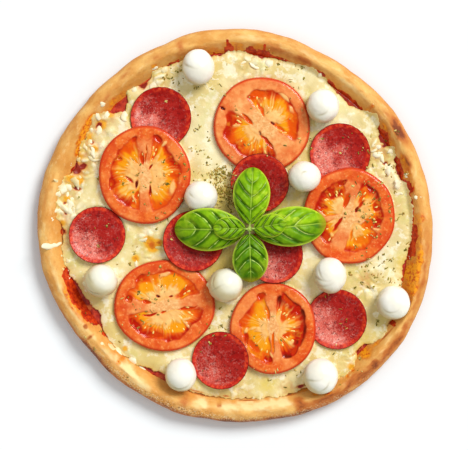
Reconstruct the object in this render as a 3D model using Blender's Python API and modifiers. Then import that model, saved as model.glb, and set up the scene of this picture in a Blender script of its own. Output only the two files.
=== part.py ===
"""A round pizza with tomato, salami and mozzarella, and a sprig of basil on top.

It lies flat on its crust: +Z is up, +Y points to its far edge, and the origin
is on the table under the middle. All sizes are in metres.
"""
import math
import random

import bmesh
import bpy
from mathutils import Matrix, Vector, noise
from mathutils.bvhtree import BVHTree

GAP = 0.0003                 # air left between pieces that touch
MERGE = 0.00001              # points nearer than this are one point
AXIS_MERGE = 0.0001          # the same, where a half section is turned
SHARP_ANGLE = 50             # degrees between faces that meet in a sharp edge
LIFT = 0.1                   # a piece starts this far up before it is set down
OVERHEAD = 0.05              # a height above every piece
UP = Vector((0, 0, 1))
DOWN = Vector((0, 0, -1))

# Crust: a flat base inside a raised rim, stretched by hand, so it isn't quite round.
CRUST_RADIUS = 0.1487
CRUST_WAVES = (              # waves round the outline, size, where the crest points
    (1, 0.0020, 322), (2, 0.0020, 282), (3, 0.0012, 217), (4, 0.0005, 12), (5, 0.0009, 155),
    (7, 0.0003, 253),
)
BASE_THICKNESS = 0.0055
RIM_HEIGHT = 0.0170
RIM_WIDTH = 0.0215           # from the outline in to the foot of the bank
RIDGE_INSET = 0.0085         # from the outline in to the top of the rim
WAIST_HEIGHT = 0.0092        # where the rim is widest
BASE_INSET = 0.0110          # from the outline in to the edge of the flat base
CRUST_STEPS = 76
BANK_STEPS = 6
RIDGE_STEPS = 4
BELLY_STEPS = 4
BLISTER_SIZE = 0.0011        # how far the rim swells and sinks
BLISTER_PITCH = 55           # swellings a metre, about
BULGE_SHIFT = Vector((7, 3, 5))   # its sides swell apart from its top
BANK_DENTS = (               # where a ball has pressed the bank outwards: direction, half width, depth
    (334, 8, 0.0050), (300, 8, 0.0030),
)
DENT_START = 0.0051          # insets where a dent begins, and where it has its full depth
DENT_FULL = 0.0129

# Sauce: a thin round plate on the base, with a slanting edge.
SAUCE_TOP = 0.0070
SAUCE_INSET = 0.0194
SAUCE_SLANT = 0.0026

# Cheese: a melted sheet that the toppings sink into.
CHEESE_BOTTOM = SAUCE_TOP + GAP
CHEESE_EDGE = 0.0083         # height of its thin edge
BED_HEIGHT = 0.0086          # height that the toppings sink to
CHEESE_TOP = 0.0099          # height of the open cheese between them
CHEESE_FILL = 0.0020         # how far it wells up under a raised slice
CHEESE_INSET = 0.0182
CHEESE_SLANT = 0.0030
CHEESE_RINGS = 20
EDGE_FADE = 0.0075           # width over which it thins to its edge
CELL = 0.0068                # the longest side of a facet of its top
SWELL_SIZE = 0.0007
SWELL_PITCH = 62
FINE_SWELL = 0.5             # share of the swell that is finer, and how much finer
FINE_PITCH = 2.3
EDGE_WANDER = 0.0012         # how far its edge wanders in and out
WANDER_PITCH = 6
BAY_SHARPNESS = 1.5
UNDER_STEPS = 10             # places tried round each point for a topping above it
CHEESE_BAYS = (              # where its edge draws back and sauce shows: direction, half width, depth
    (11, 7, 0.0020), (19, 6, 0.0035), (30, 6, 0.0050), (48, 8, 0.0060), (60, 6, 0.0050),
    (78, 9, 0.0050), (97, 5, 0.0060), (110, 4, 0.0040), (124, 4, 0.0050), (135, 6, 0.0110),
    (145, 4, 0.0050), (159, 5, 0.0060), (183, 5, 0.0050), (206, 17, 0.0075), (240, 7, 0.0060),
    (316, 6, 0.0060), (350, 9, 0.0030),
)

# Tomato slices: name, middle, half sizes across and along, directions of the walls
# between the seed chambers, what it lies on.
TOMATO_THICKNESS = 0.0055
TOMATO_STEPS = 28
CHAMBER_RING = 0.55          # where the chambers are deepest, as a share of the half size
TOMATO_PROFILE = (           # half section, core to skin: shares of the half size and thickness
    (0, 1), (0.28, 1), (CHAMBER_RING, 1), (0.80, 1), (0.965, 0.92), (1, 0.5), (0.95, 0), (0, 0),
)
EXTRA_LOBES = 3              # lobes of the outline, more than there are walls
LOBE_SIZE = 0.008
LOBE_PHASE = 100             # radians a metre along +X, so that no two slices match
CHAMBER_DEPTH = 0.0008
WALL_SPREAD = 17             # degrees
TOMATOES = (
    ("tomato_slice_1", (-0.0683, 0.0382), (0.0348, 0.0372), (92, 272), "salami_1"),
    ("tomato_slice_2", (0.0202, 0.0756), (0.0365, 0.0366), (135, 315), None),
    ("tomato_slice_3", (0.0860, 0.0074), (0.0348, 0.0364), (20, 75, 130, 190, 250, 305), "salami_3"),
    ("tomato_slice_4", (-0.0534, -0.0604), (0.0382, 0.0345), (20, 100, 170, 250), None),
    ("tomato_slice_5", (0.0287, -0.0775), (0.0326, 0.0347), (80, 270), "salami_7"),
)

# Salami slices: name, middle, radius, the side that is pressed flat, what it lies on.
SALAMI_THICKNESS = 0.0020
SALAMI_STEPS = 20
SALAMI_PROFILE = (           # half section, middle to edge: shares of the radius and thickness
    (0, 1), (0.6, 1), (0.88, 1), (1, 0.9), (1, 0.12), (0.88, 0), (0.6, 0), (0, 0),
)
SALAMI_CURL = 0.0034         # how far the free edge curls up
CURL_START = 0.45            # share of the radius where the curl begins
CURL_WAVES = 3
CURL_WAVE_SIZE = 0.18
CURL_PHASE = 90              # radians a metre along +Y
SALAMIS = (
    ("salami_1", (-0.0561, 0.0816), 0.0230, 254, None),
    ("salami_2", (-0.1042, -0.0072), 0.0214, 50, None),
    ("salami_3", (0.0793, 0.0542), 0.0230, 278, None),
    ("salami_4", (0.0186, 0.0326), 0.0221, 90, "tomato_slice_2"),
    ("salami_5", (-0.0316, -0.0120), 0.0230, 245, "tomato_slice_4"),
    ("salami_6", (0.0295, -0.0223), 0.0217, 270, "tomato_slice_5"),
    ("salami_7", (0.0768, -0.0708), 0.0227, 172, None),
    ("salami_8", (-0.0108, -0.1016), 0.0217, 110, "tomato_slice_5"),
)

# Mozzarella balls: name, middle, half sizes across and along.
BALL_HEIGHT = 0.0220
BALL_FLAT = 0.90             # share of the half height where the flat underside cuts it
BALL_SEGMENTS = 12
BALL_RINGS = 8
BALL_TURN = 50               # radians a metre along +X
DIMPLE_SIZE = 0.03
DIMPLE_PITCH = 1.7
DIMPLE_SHIFT = 100           # how fast the dimples change from ball to ball
BALLS = (
    ("mozzarella_1", (-0.0277, 0.1192), (0.0122, 0.0136)),
    ("mozzarella_2", (0.0661, 0.0899), (0.0123, 0.0128)),
    ("mozzarella_3", (0.0522, 0.0368), (0.0122, 0.0115)),
    ("mozzarella_4", (-0.0256, 0.0216), (0.0125, 0.0121)),
    ("mozzarella_5", (-0.1013, -0.0418), (0.0128, 0.0127)),
    ("mozzarella_6", (-0.0072, -0.0450), (0.0130, 0.0129)),
    ("mozzarella_7", (0.0715, -0.0376), (0.0123, 0.0136)),
    ("mozzarella_8", (0.1190, -0.0582), (0.0128, 0.0128)),
    ("mozzarella_9", (-0.0409, -0.1125), (0.0119, 0.0128)),
    ("mozzarella_10", (0.0645, -0.1134), (0.0132, 0.0135)),
)

# Basil: leaves round the top of one short stem.
STEM_PLACE = (0.0109, -0.0026)
STEM_TOP = 0.0268
STEM_RADIUS = 0.0013
STEM_STEPS = 8
STEM_KNOB = ((0, 0), (0.96, 0.0002), (1.6, 0.0016), (1.6, 0.0034), (1, 0.0060))  # radii, depth
LEAF_THICKNESS = 0.0007
LEAF_STUB = 0.0010           # half width where a leaf leaves the stem
LEAF_SHAPE = 1.15            # above 1, a leaf is widest past its middle
LEAF_PUFF = 0.0016           # how far each half swells between midrib and edge
LEAF_RIPPLE = 0.0005
RIPPLE_PITCH = 15            # radians along a leaf, and how far the ripples slant across it
RIPPLE_SLANT = 2
LARGE_LEAF = (10, 6)         # cells along and across
SMALL_LEAF = (7, 4)
LEAVES = (                   # name, base, tip, width, arch, dome, twist, cells
    ("basil_leaf_1", (0.0111, 0.0010, 0.0235), (0.0136, 0.0438, 0.0205),
     0.0280, 0.0055, 0.0022, 0.0, LARGE_LEAF),
    ("basil_leaf_2", (0.0072, -0.0034, 0.0225), (-0.0455, -0.0026, 0.0175),
     0.0325, 0.0086, 0.0022, -0.0026, LARGE_LEAF),
    ("basil_leaf_3", (0.0109, -0.0064, 0.0235), (0.0120, -0.0427, 0.0192),
     0.0270, 0.0076, 0.0022, -0.0026, LARGE_LEAF),
    ("basil_leaf_4", (0.0146, -0.0038, 0.0205), (0.0686, 0.0021, 0.0175),
     0.0300, 0.0085, 0.0024, 0.0, LARGE_LEAF),
    ("basil_leaf_5", (0.0077, -0.0026, 0.0268), (-0.0162, -0.0016, 0.0326),
     0.0174, 0.0022, 0.0012, -0.0012, SMALL_LEAF),
    ("basil_leaf_6", (0.0141, -0.0022, 0.0270), (0.0384, 0.0021, 0.0308),
     0.0180, 0.0016, 0.0012, 0.0, SMALL_LEAF),
)

# Dried herbs and shreds of cheese, the largest ones: where they lie thickest, spread and number.
HERB_SIZE = (0.0038, 0.0020, 0.0018)
HERB_SPACING = 0.0042
HERB_CLEAR = 0.00304         # open ground wanted round a flake
HERB_SIDES = 4
HERB_DRIFTS = {
    "cheese": ((-0.010, 0.032, 0.009, 12), (-0.032, 0.106, 0.014, 6), (0.112, -0.040, 0.012, 7),
               (-0.028, 0.058, 0.010, 5), (0.100, 0.052, 0.012, 4), (-0.085, -0.020, 0.018, 4),
               (0.035, -0.117, 0.012, 3), (0.046, 0.110, 0.012, 3), (-0.010, -0.075, 0.008, 2)),
    "tomato_slice_3": ((0.098, 0.022, 0.009, 7),),
    "tomato_slice_4": ((-0.072, -0.066, 0.008, 5),),
}
SHRED_SIZE = (0.0140, 0.0022, 0.0018)
SHRED_TAPER = 0.5
SHRED_BEND = 1.6             # in widths
SHRED_PATCHES = ((-0.110, 0.052, 0.014, 5), (-0.118, 0.020, 0.012, 4), (-0.094, 0.082, 0.007, 1))
SHRED_SPACING = 0.0070
SHRED_CLEAR = 0.0084         # open ground wanted round a shred
SHRED_TO_HERB = 0.0098       # flakes keep this far from the middle of a shred
OPEN_STEPS = 8               # places tried round a bit for open ground
TRIES = 400                  # draws before a drift is given up

parts = bpy.data.collections.new("greek_pizza")


def clear_scene():
    """Start from an empty scene that holds one collection for the pizza."""
    for obj in list(bpy.data.objects):
        bpy.data.objects.remove(obj, do_unlink=True)
    bpy.context.scene.collection.children.link(parts)


def material(name, colour, roughness):
    """A plain food surface."""
    made = bpy.data.materials.new(name)
    made.use_nodes = True
    shader = made.node_tree.nodes["Principled BSDF"]
    shader.inputs["Base Color"].default_value = (*colour, 1)
    shader.inputs["Roughness"].default_value = roughness
    shader.inputs["Metallic"].default_value = 0
    return made


def add_object(name, mesh, surface):
    """Put a mesh into the pizza's collection under a name."""
    mesh.name = name
    obj = bpy.data.objects.new(name, mesh)
    parts.objects.link(obj)
    if not mesh.materials:
        mesh.materials.append(surface)
    return obj


def bake_modifiers(obj):
    """Turn an object and its modifiers into one plain mesh, faces outwards."""
    graph = bpy.context.evaluated_depsgraph_get()
    shaped = bpy.data.meshes.new_from_object(obj.evaluated_get(graph))
    obj.modifiers.clear()
    obj.data = shaped
    bm = bmesh.new()
    bm.from_mesh(shaped)
    bmesh.ops.remove_doubles(bm, verts=bm.verts, dist=MERGE)
    bmesh.ops.recalc_face_normals(bm, faces=bm.faces)
    bm.to_mesh(shaped)
    bm.free()
    shaped.shade_smooth()
    shaped.set_sharp_from_angle(angle=math.radians(SHARP_ANGLE))


def turned(name, profile, steps, surface):
    """A solid turned about the upright axis, from its half section, top to bottom."""
    mesh = bpy.data.meshes.new(name)
    points = [(across, 0, up) for across, up in profile]
    mesh.from_pydata(points, [(i, i + 1) for i in range(len(points) - 1)], [])
    obj = add_object(name, mesh, surface)
    turn = obj.modifiers.new("Turn", "SCREW")
    turn.steps = steps
    turn.render_steps = steps
    turn.use_merge_vertices = True
    turn.merge_threshold = AXIS_MERGE
    bake_modifiers(obj)
    return obj


def direction_of(point):
    """The direction of a point from the middle, seen from above."""
    return math.atan2(point[1], point[0])


def turn_between(first, second):
    """The angle between two directions, from 0 to half a turn."""
    return abs((first - second + math.pi) % (2 * math.pi) - math.pi)


def outline(direction):
    """How far out the crust reaches in a direction."""
    radius = CRUST_RADIUS
    for count, size, crest in CRUST_WAVES:
        radius += size * math.cos(count * direction - math.radians(crest))
    return radius


def crust_profile():
    """Half section of the crust: base, bank, ridge, belly and the flat underside."""
    ridge = CRUST_RADIUS - RIDGE_INSET
    foot = CRUST_RADIUS - RIM_WIDTH
    bank_height = RIM_HEIGHT - BASE_THICKNESS
    points = [(0, BASE_THICKNESS)]
    for step in range(BANK_STEPS + 1):
        share = step / BANK_STEPS
        rise = (1 - math.cos(math.pi * share)) / 2
        points.append((foot + (ridge - foot) * share, BASE_THICKNESS + bank_height * rise))
    for step in range(1, RIDGE_STEPS + 1):
        angle = math.pi / 2 * step / RIDGE_STEPS
        height = WAIST_HEIGHT + (RIM_HEIGHT - WAIST_HEIGHT) * math.cos(angle)
        points.append((ridge + RIDGE_INSET * math.sin(angle), height))
    for step in range(1, BELLY_STEPS + 1):
        angle = math.pi / 2 * step / BELLY_STEPS
        across = CRUST_RADIUS - BASE_INSET * (1 - math.cos(angle))
        points.append((across, WAIST_HEIGHT * (1 - math.sin(angle))))
    points.append((0, 0))
    return points


def stretch_round(point):
    """Move a point of a turned solid out or in, so that it follows the crust's outline."""
    share = outline(direction_of(point)) / CRUST_RADIUS
    return Vector((point.x * share, point.y * share, point.z))


def dent_at(point):
    """How far the bank is pushed outwards at a point, most at its foot and none past the ridge."""
    inset = CRUST_RADIUS - point.xy.length
    share = min(1, max(0, (inset - DENT_START) / (DENT_FULL - DENT_START)))
    push = 0
    for dent, half_width, depth in BANK_DENTS:
        away = turn_between(direction_of(point), math.radians(dent)) / math.radians(half_width)
        push += depth * math.exp(-away ** 2)
    return push * share


def make_crust(surface):
    """The baked dough: one solid with an uneven, softly blistered rim."""
    crust = turned("crust", crust_profile(), CRUST_STEPS, surface)
    foot = CRUST_RADIUS - RIM_WIDTH
    ridge = CRUST_RADIUS - RIDGE_INSET
    for vertex in crust.data.vertices:
        point = stretch_round(vertex.co)
        radius = vertex.co.xy.length
        if radius > foot - MERGE and point.z > BASE_THICKNESS - MERGE:
            point.xy *= 1 + dent_at(vertex.co) / point.xy.length
        top_share = min(1, max(0, (point.z - SAUCE_TOP) / (RIM_HEIGHT - SAUCE_TOP)))
        side_share = min(1, point.z / BASE_THICKNESS)
        swell = noise.noise(point * BLISTER_PITCH)
        bulge = noise.noise(point * BLISTER_PITCH + BULGE_SHIFT)
        point.z += BLISTER_SIZE * swell * top_share
        if radius > ridge:
            point.xy *= 1 + BLISTER_SIZE * bulge * side_share / CRUST_RADIUS
        vertex.co = point
    corners = [vertex.co for vertex in crust.data.vertices]
    middle_x = (min(c.x for c in corners) + max(c.x for c in corners)) / 2
    middle_y = (min(c.y for c in corners) + max(c.y for c in corners)) / 2
    crust.data.transform(Matrix.Translation((-middle_x, -middle_y, 0)))
    return crust


def make_sauce(surface):
    """Tomato sauce, spread thin over the base out to the foot of the rim."""
    edge = CRUST_RADIUS - SAUCE_INSET
    foot = BASE_THICKNESS + GAP
    profile = [(0, SAUCE_TOP), (edge, SAUCE_TOP), (edge - SAUCE_SLANT, foot), (0, foot)]
    sauce = turned("sauce", profile, CRUST_STEPS, surface)
    for vertex in sauce.data.vertices:
        vertex.co = stretch_round(vertex.co)
    return sauce


def placed_corners(obj):
    """The corners of an object where it stands."""
    place = obj.matrix_basis
    return [place @ vertex.co for vertex in obj.data.vertices]


def placed_points(obj):
    """The corners of an object where it stands, and points along its edges."""
    corners = placed_corners(obj)
    points = list(corners)
    for edge in obj.data.edges:
        start = corners[edge.vertices[0]]
        end = corners[edge.vertices[1]]
        points += [start.lerp(end, share) for share in (0.25, 0.5, 0.75)]
    return points


def surface_tree(objects):
    """A search tree of the faces of some objects where they stand."""
    corners = []
    faces = []
    for obj in objects:
        first = len(corners)
        corners += placed_corners(obj)
        faces += [[first + i for i in face.vertices] for face in obj.data.polygons]
    return BVHTree.FromPolygons(corners, faces)


def set_down(obj, below):
    """Lower an object until it lies on the bed of cheese or on something already there."""
    obj.location.z += LIFT
    points = placed_points(obj)
    own_faces = surface_tree([obj])
    drop = min(point.z for point in points) - BED_HEIGHT
    for other in below:
        faces = surface_tree([other])
        hits = [faces.ray_cast(point, DOWN)[3] for point in points]
        hits += [own_faces.ray_cast(point, UP)[3] for point in placed_points(other)]
        drop = min([drop] + [hit for hit in hits if hit is not None])
    obj.location.z -= drop - GAP
    return obj


def lean(obj, reach, thickness, other, other_reach):
    """Tilt a slice up on the side where it lies over another one."""
    across = Vector((other.location.x - obj.location.x, other.location.y - obj.location.y, 0))
    run = across.length - other_reach + reach
    axis = Vector((across.y, -across.x, 0)).normalized()
    obj.rotation_euler = Matrix.Rotation(math.atan2(thickness, run), 3, axis).to_euler()


def ellipse_reach(halves, direction):
    """How far an ellipse reaches from its middle in a direction."""
    return 1 / math.hypot(math.cos(direction) / halves[0], math.sin(direction) / halves[1])


def make_tomato(name, place, halves, walls, surface):
    """A round slice of tomato with its seed chambers sunk between the walls."""
    profile = [(across, up * TOMATO_THICKNESS) for across, up in TOMATO_PROFILE]
    slice_ = turned(name, profile, TOMATO_STEPS, surface)
    lobes = len(walls) + EXTRA_LOBES
    for vertex in slice_.data.vertices:
        direction = direction_of(vertex.co)
        if abs(vertex.co.xy.length - CHAMBER_RING) < AXIS_MERGE:
            nearest = min(turn_between(direction, math.radians(wall)) for wall in walls)
            wall_share = math.exp(-(math.degrees(nearest) / WALL_SPREAD) ** 2)
            vertex.co.z -= CHAMBER_DEPTH * (1 - wall_share)
        lobe = 1 + LOBE_SIZE * math.cos(lobes * direction + place[0] * LOBE_PHASE)
        vertex.co.x *= halves[0] * lobe
        vertex.co.y *= halves[1] * lobe
    slice_.location = (*place, 0)
    return slice_


def make_salami(name, place, radius, pressed, surface):
    """A thin slice of salami whose free edge has curled up in the oven."""
    profile = [(across, up * SALAMI_THICKNESS) for across, up in SALAMI_PROFILE]
    slice_ = turned(name, profile, SALAMI_STEPS, surface)
    for vertex in slice_.data.vertices:
        direction = direction_of(vertex.co)
        free = (1 - math.cos(direction - math.radians(pressed))) / 2
        outer = max(0, vertex.co.xy.length - CURL_START) / (1 - CURL_START)
        ripple = 1 + CURL_WAVE_SIZE * math.cos(CURL_WAVES * direction + place[1] * CURL_PHASE)
        vertex.co.x *= radius
        vertex.co.y *= radius
        vertex.co.z += SALAMI_CURL * free * ripple * outer ** 2
    slice_.location = (*place, 0)
    return slice_


def make_ball(name, place, halves, surface):
    """A soft ball of mozzarella, flat where it sits."""
    bm = bmesh.new()
    bmesh.ops.create_uvsphere(bm, u_segments=BALL_SEGMENTS, v_segments=BALL_RINGS, radius=1)
    bmesh.ops.rotate(bm, verts=bm.verts, matrix=Matrix.Rotation(place[0] * BALL_TURN, 3, "Z"))
    shift = Vector((*place, 0)) * DIMPLE_SHIFT
    for vertex in bm.verts:
        dimple = 1 + DIMPLE_SIZE * noise.noise(vertex.co * DIMPLE_PITCH + shift)
        height = max(vertex.co.z * dimple, -BALL_FLAT)
        vertex.co = Vector((vertex.co.x * dimple * halves[0], vertex.co.y * dimple * halves[1],
                            height * BALL_HEIGHT / (1 + BALL_FLAT)))
    mesh = bpy.data.meshes.new(name)
    bm.to_mesh(mesh)
    bm.free()
    mesh.shade_smooth()
    ball = add_object(name, mesh, surface)
    ball.location = (*place, 0)
    return ball


def make_toppings(crust, surfaces):
    """Lay the slices and balls on the pizza, each on what it covers."""
    tomato_halves = {name: halves for name, place, halves, walls, on in TOMATOES}
    salami_radius = {name: radius for name, place, radius, pressed, on in SALAMIS}
    made = {}
    for name, place, halves, walls, on in TOMATOES:
        made[name] = make_tomato(name, place, halves, walls, surfaces["tomato"])
    for name, place, radius, pressed, on in SALAMIS:
        made[name] = make_salami(name, place, radius, pressed, surfaces["salami"])
    for name, place, halves, walls, on in TOMATOES:
        if on:
            toward = direction_of(made[on].location - made[name].location)
            reach = ellipse_reach(halves, toward)
            lean(made[name], reach, SALAMI_THICKNESS, made[on], salami_radius[on])
    for name, place, radius, pressed, on in SALAMIS:
        if on:
            toward = direction_of(made[on].location - made[name].location)
            reach = ellipse_reach(tomato_halves[on], toward)
            lean(made[name], radius, TOMATO_THICKNESS, made[on], reach)
    low_salamis = [name for name, place, radius, pressed, on in SALAMIS if not on]
    high_salamis = [name for name, place, radius, pressed, on in SALAMIS if on]
    order = low_salamis + [row[0] for row in TOMATOES] + high_salamis
    for name, place, halves in BALLS:
        made[name] = make_ball(name, place, halves, surfaces["mozzarella"])
        order.append(name)
    laid = [crust]
    for name in order:
        laid.append(set_down(made[name], laid))
    return laid[1:]


def make_stem(cheese, surface):
    """The short stem that carries the basil leaves, knobbed at its top, standing on the cheese."""
    ground = surface_tree([cheese])
    heights = []
    for step in range(STEM_STEPS):
        turn = 2 * math.pi * step / STEM_STEPS
        foot_x = STEM_PLACE[0] + STEM_RADIUS * math.cos(turn)
        foot_y = STEM_PLACE[1] + STEM_RADIUS * math.sin(turn)
        heights.append(ground.ray_cast(Vector((foot_x, foot_y, STEM_TOP)), DOWN)[0].z)
    foot = max(heights) + GAP
    profile = [(across * STEM_RADIUS, STEM_TOP - depth) for across, depth in STEM_KNOB]
    profile += [(STEM_RADIUS, foot), (0, foot)]
    stem = turned("basil_stem", profile, STEM_STEPS, surface)
    stem.location = (*STEM_PLACE, 0)
    return stem


def make_leaf(name, base, tip, width, arch, dome, twist, cells, surface):
    """A thin arched leaf: a flat grid bent into a blade, then given its thickness."""
    base = Vector(base)
    tip = Vector(tip)
    side = Vector((base.y - tip.y, tip.x - base.x, 0)).normalized()
    bm = bmesh.new()
    bmesh.ops.create_grid(bm, x_segments=cells[0], y_segments=cells[1], size=0.5)
    bmesh.ops.triangulate(bm, faces=bm.faces, quad_method="FIXED")
    for vertex in bm.verts:
        along = (1 - math.cos(math.pi * (vertex.co.x + 0.5))) / 2
        across = vertex.co.y * 2
        blade = max(0, math.sin(math.pi * along ** LEAF_SHAPE)) ** 0.5
        half = LEAF_STUB * (1 - along) + (width - LEAF_STUB) / 2 * blade
        point = base.lerp(tip, along) + side * across * half
        fullness = min(1, half / (width / 2))
        puff = LEAF_PUFF * abs(across) * (1 - abs(across)) * 4
        ripple = LEAF_RIPPLE * abs(across)
        ripple *= math.sin(along * RIPPLE_PITCH + across * RIPPLE_SLANT)
        point.z += arch * 4 * along * (1 - along)
        point.z += fullness * (puff + ripple + twist * across - dome * across ** 2)
        vertex.co = point
    bmesh.ops.remove_doubles(bm, verts=bm.verts, dist=MERGE)
    bmesh.ops.recalc_face_normals(bm, faces=bm.faces)
    mesh = bpy.data.meshes.new(name)
    bm.to_mesh(mesh)
    bm.free()
    leaf = add_object(name, mesh, surface)
    blade = leaf.modifiers.new("Blade", "SOLIDIFY")
    blade.thickness = LEAF_THICKNESS
    blade.offset = 0
    bake_modifiers(leaf)
    return leaf


def cheese_edge(direction):
    """How far out the cheese reaches: an even margin, less the bays where sauce shows."""
    radius = outline(direction) * (1 - CHEESE_INSET / CRUST_RADIUS)
    outwards = Vector((math.cos(direction), math.sin(direction), 0))
    radius -= EDGE_WANDER * (1 + noise.noise(outwards * WANDER_PITCH))
    for bay, half_width, depth in CHEESE_BAYS:
        away = turn_between(direction, math.radians(bay)) / math.radians(half_width)
        radius -= depth * math.exp(-away ** 2 * BAY_SHARPNESS)
    return radius


def lowest_above(faces, x, y):
    """The lowest underside of a topping over a place and one facet round it."""
    heights = [STEM_TOP]
    for reach in (0, CELL / 2, CELL):
        for step in range(UNDER_STEPS if reach else 1):
            turn = 2 * math.pi * step / UNDER_STEPS
            start = Vector((x + reach * math.cos(turn), y + reach * math.sin(turn), 0))
            hit = faces.ray_cast(start, UP)[0]
            if hit:
                heights.append(hit.z)
    return min(heights)


def make_cheese(toppings, surface):
    """The melted cheese: a sheet of even facets that dips under each topping."""
    faces = surface_tree(toppings)
    bm = bmesh.new()
    bmesh.ops.create_circle(bm, cap_ends=True, cap_tris=True, segments=6, radius=1)
    bmesh.ops.subdivide_edges(bm, edges=bm.edges[:], cuts=CHEESE_RINGS - 1, use_grid_fill=True)
    for vertex in bm.verts:
        direction = direction_of(vertex.co)
        from_side = (direction + math.pi / 6) % (math.pi / 3) - math.pi / 6
        share = vertex.co.length * math.cos(from_side) / math.cos(math.pi / 6)
        edge = cheese_edge(direction)
        point = Vector((math.cos(direction), math.sin(direction), 0)) * edge * share
        swell = noise.noise(point * SWELL_PITCH)
        swell += FINE_SWELL * noise.noise(point * SWELL_PITCH * FINE_PITCH)
        open_height = CHEESE_TOP + SWELL_SIZE * swell
        fade = min(1, edge * (1 - share) / EDGE_FADE)
        height = CHEESE_EDGE + (open_height - CHEESE_EDGE) * math.sin(math.pi / 2 * fade)
        if faces.ray_cast(point, UP)[0]:
            height += CHEESE_FILL
        point.z = min(height, lowest_above(faces, point.x, point.y) - GAP)
        vertex.co = point
    rim = [edge for edge in bm.edges if edge.is_boundary]
    skirt = bmesh.ops.extrude_edge_only(bm, edges=rim)["geom"]
    for vertex in (item for item in skirt if isinstance(item, bmesh.types.BMVert)):
        vertex.co.xy *= 1 - CHEESE_SLANT / vertex.co.xy.length
        vertex.co.z = CHEESE_BOTTOM
    bmesh.ops.contextual_create(bm, geom=[edge for edge in bm.edges if edge.is_boundary])
    bmesh.ops.recalc_face_normals(bm, faces=bm.faces)
    mesh = bpy.data.meshes.new("cheese")
    bm.to_mesh(mesh)
    bm.free()
    return add_object("cheese", mesh, surface)


def is_open(ground, above, spot, reach):
    """Whether a bit has ground under it all round and nothing over it."""
    for step in range(OPEN_STEPS):
        turn = 2 * math.pi * step / OPEN_STEPS
        side = spot + Vector((math.cos(turn), math.sin(turn), 0)) * reach
        if above.ray_cast(side, DOWN)[0] or not ground.ray_cast(side, DOWN)[0]:
            return False
    return True


def scatter(drifts, spacing, clear, above, ground, draw):
    """Places on a surface for small bits: seeded drifts, clear of what lies over it."""
    places = []
    for x, y, spread, count in drifts:
        wanted = len(places) + count
        for attempt in range(TRIES):
            if len(places) == wanted:
                break
            spot = Vector((draw.gauss(x, spread), draw.gauss(y, spread), OVERHEAD))
            if any((spot.xy - other.xy).length < spacing for other in places):
                continue
            if is_open(ground, above, spot, clear):
                places.append(ground.ray_cast(spot, DOWN)[0])
    return places


def finish_bit(bm, size, draw):
    """Size a small bit, turn it at random and make it a mesh with its middle on the origin."""
    bmesh.ops.scale(bm, verts=bm.verts, vec=size)
    bmesh.ops.rotate(bm, verts=bm.verts, matrix=Matrix.Rotation(draw.uniform(0, 2 * math.pi), 3, "Z"))
    mesh = bpy.data.meshes.new("bit")
    bm.to_mesh(mesh)
    bm.free()
    return mesh


def make_shred(draw):
    """A strip of grated cheese, bent in its length and thinner at its ends."""
    bm = bmesh.new()
    bmesh.ops.create_cube(bm, size=1)
    long_edges = [e for e in bm.edges if e.verts[0].co.x * e.verts[1].co.x < 0]
    bmesh.ops.subdivide_edges(bm, edges=long_edges, cuts=2, use_grid_fill=True)
    for vertex in bm.verts:
        vertex.co.y *= 1 - SHRED_TAPER * abs(vertex.co.x)
        vertex.co.y += SHRED_BEND * vertex.co.x ** 2
    bmesh.ops.triangulate(bm, faces=bm.faces)
    return finish_bit(bm, SHRED_SIZE, draw)


def make_flake(draw):
    """A flake of dried herb, as a low four-sided peak."""
    bm = bmesh.new()
    bmesh.ops.create_cone(bm, cap_ends=True, segments=HERB_SIDES, radius1=0.5, radius2=0, depth=1)
    bmesh.ops.triangulate(bm, faces=bm.faces)
    return finish_bit(bm, HERB_SIZE, draw)


def fuse_bits(carrier, meshes_and_places):
    """Join small bits to the piece they lie on, as one solid."""
    bits = bpy.data.collections.new("bits")
    bpy.context.scene.collection.children.link(bits)
    for mesh, place in meshes_and_places:
        bit = bpy.data.objects.new("bit", mesh)
        bit.location = place
        bits.objects.link(bit)
    join = carrier.modifiers.new("Join", "BOOLEAN")
    join.operation = "UNION"
    join.operand_type = "COLLECTION"
    join.collection = bits
    join.solver = "EXACT"
    bake_modifiers(carrier)
    for bit in list(bits.objects):
        bpy.data.objects.remove(bit, do_unlink=True)
    bpy.data.collections.remove(bits)


def season(carrier, above, draw):
    """Fuse the largest flakes of dried herb, and on the cheese its shreds, to a piece."""
    ground = surface_tree([carrier])
    found = []
    if carrier.name == "cheese":
        spots = scatter(SHRED_PATCHES, SHRED_SPACING, SHRED_CLEAR, above, ground, draw)
        found += [(make_shred(draw), spot) for spot in spots]
    taken = [spot for mesh, spot in found]
    spots = scatter(HERB_DRIFTS[carrier.name], HERB_SPACING, HERB_CLEAR, above, ground, draw)
    for spot in spots:
        if all((spot - other).length > SHRED_TO_HERB for other in taken):
            found.append((make_flake(draw), spot))
    fuse_bits(carrier, found)


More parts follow.
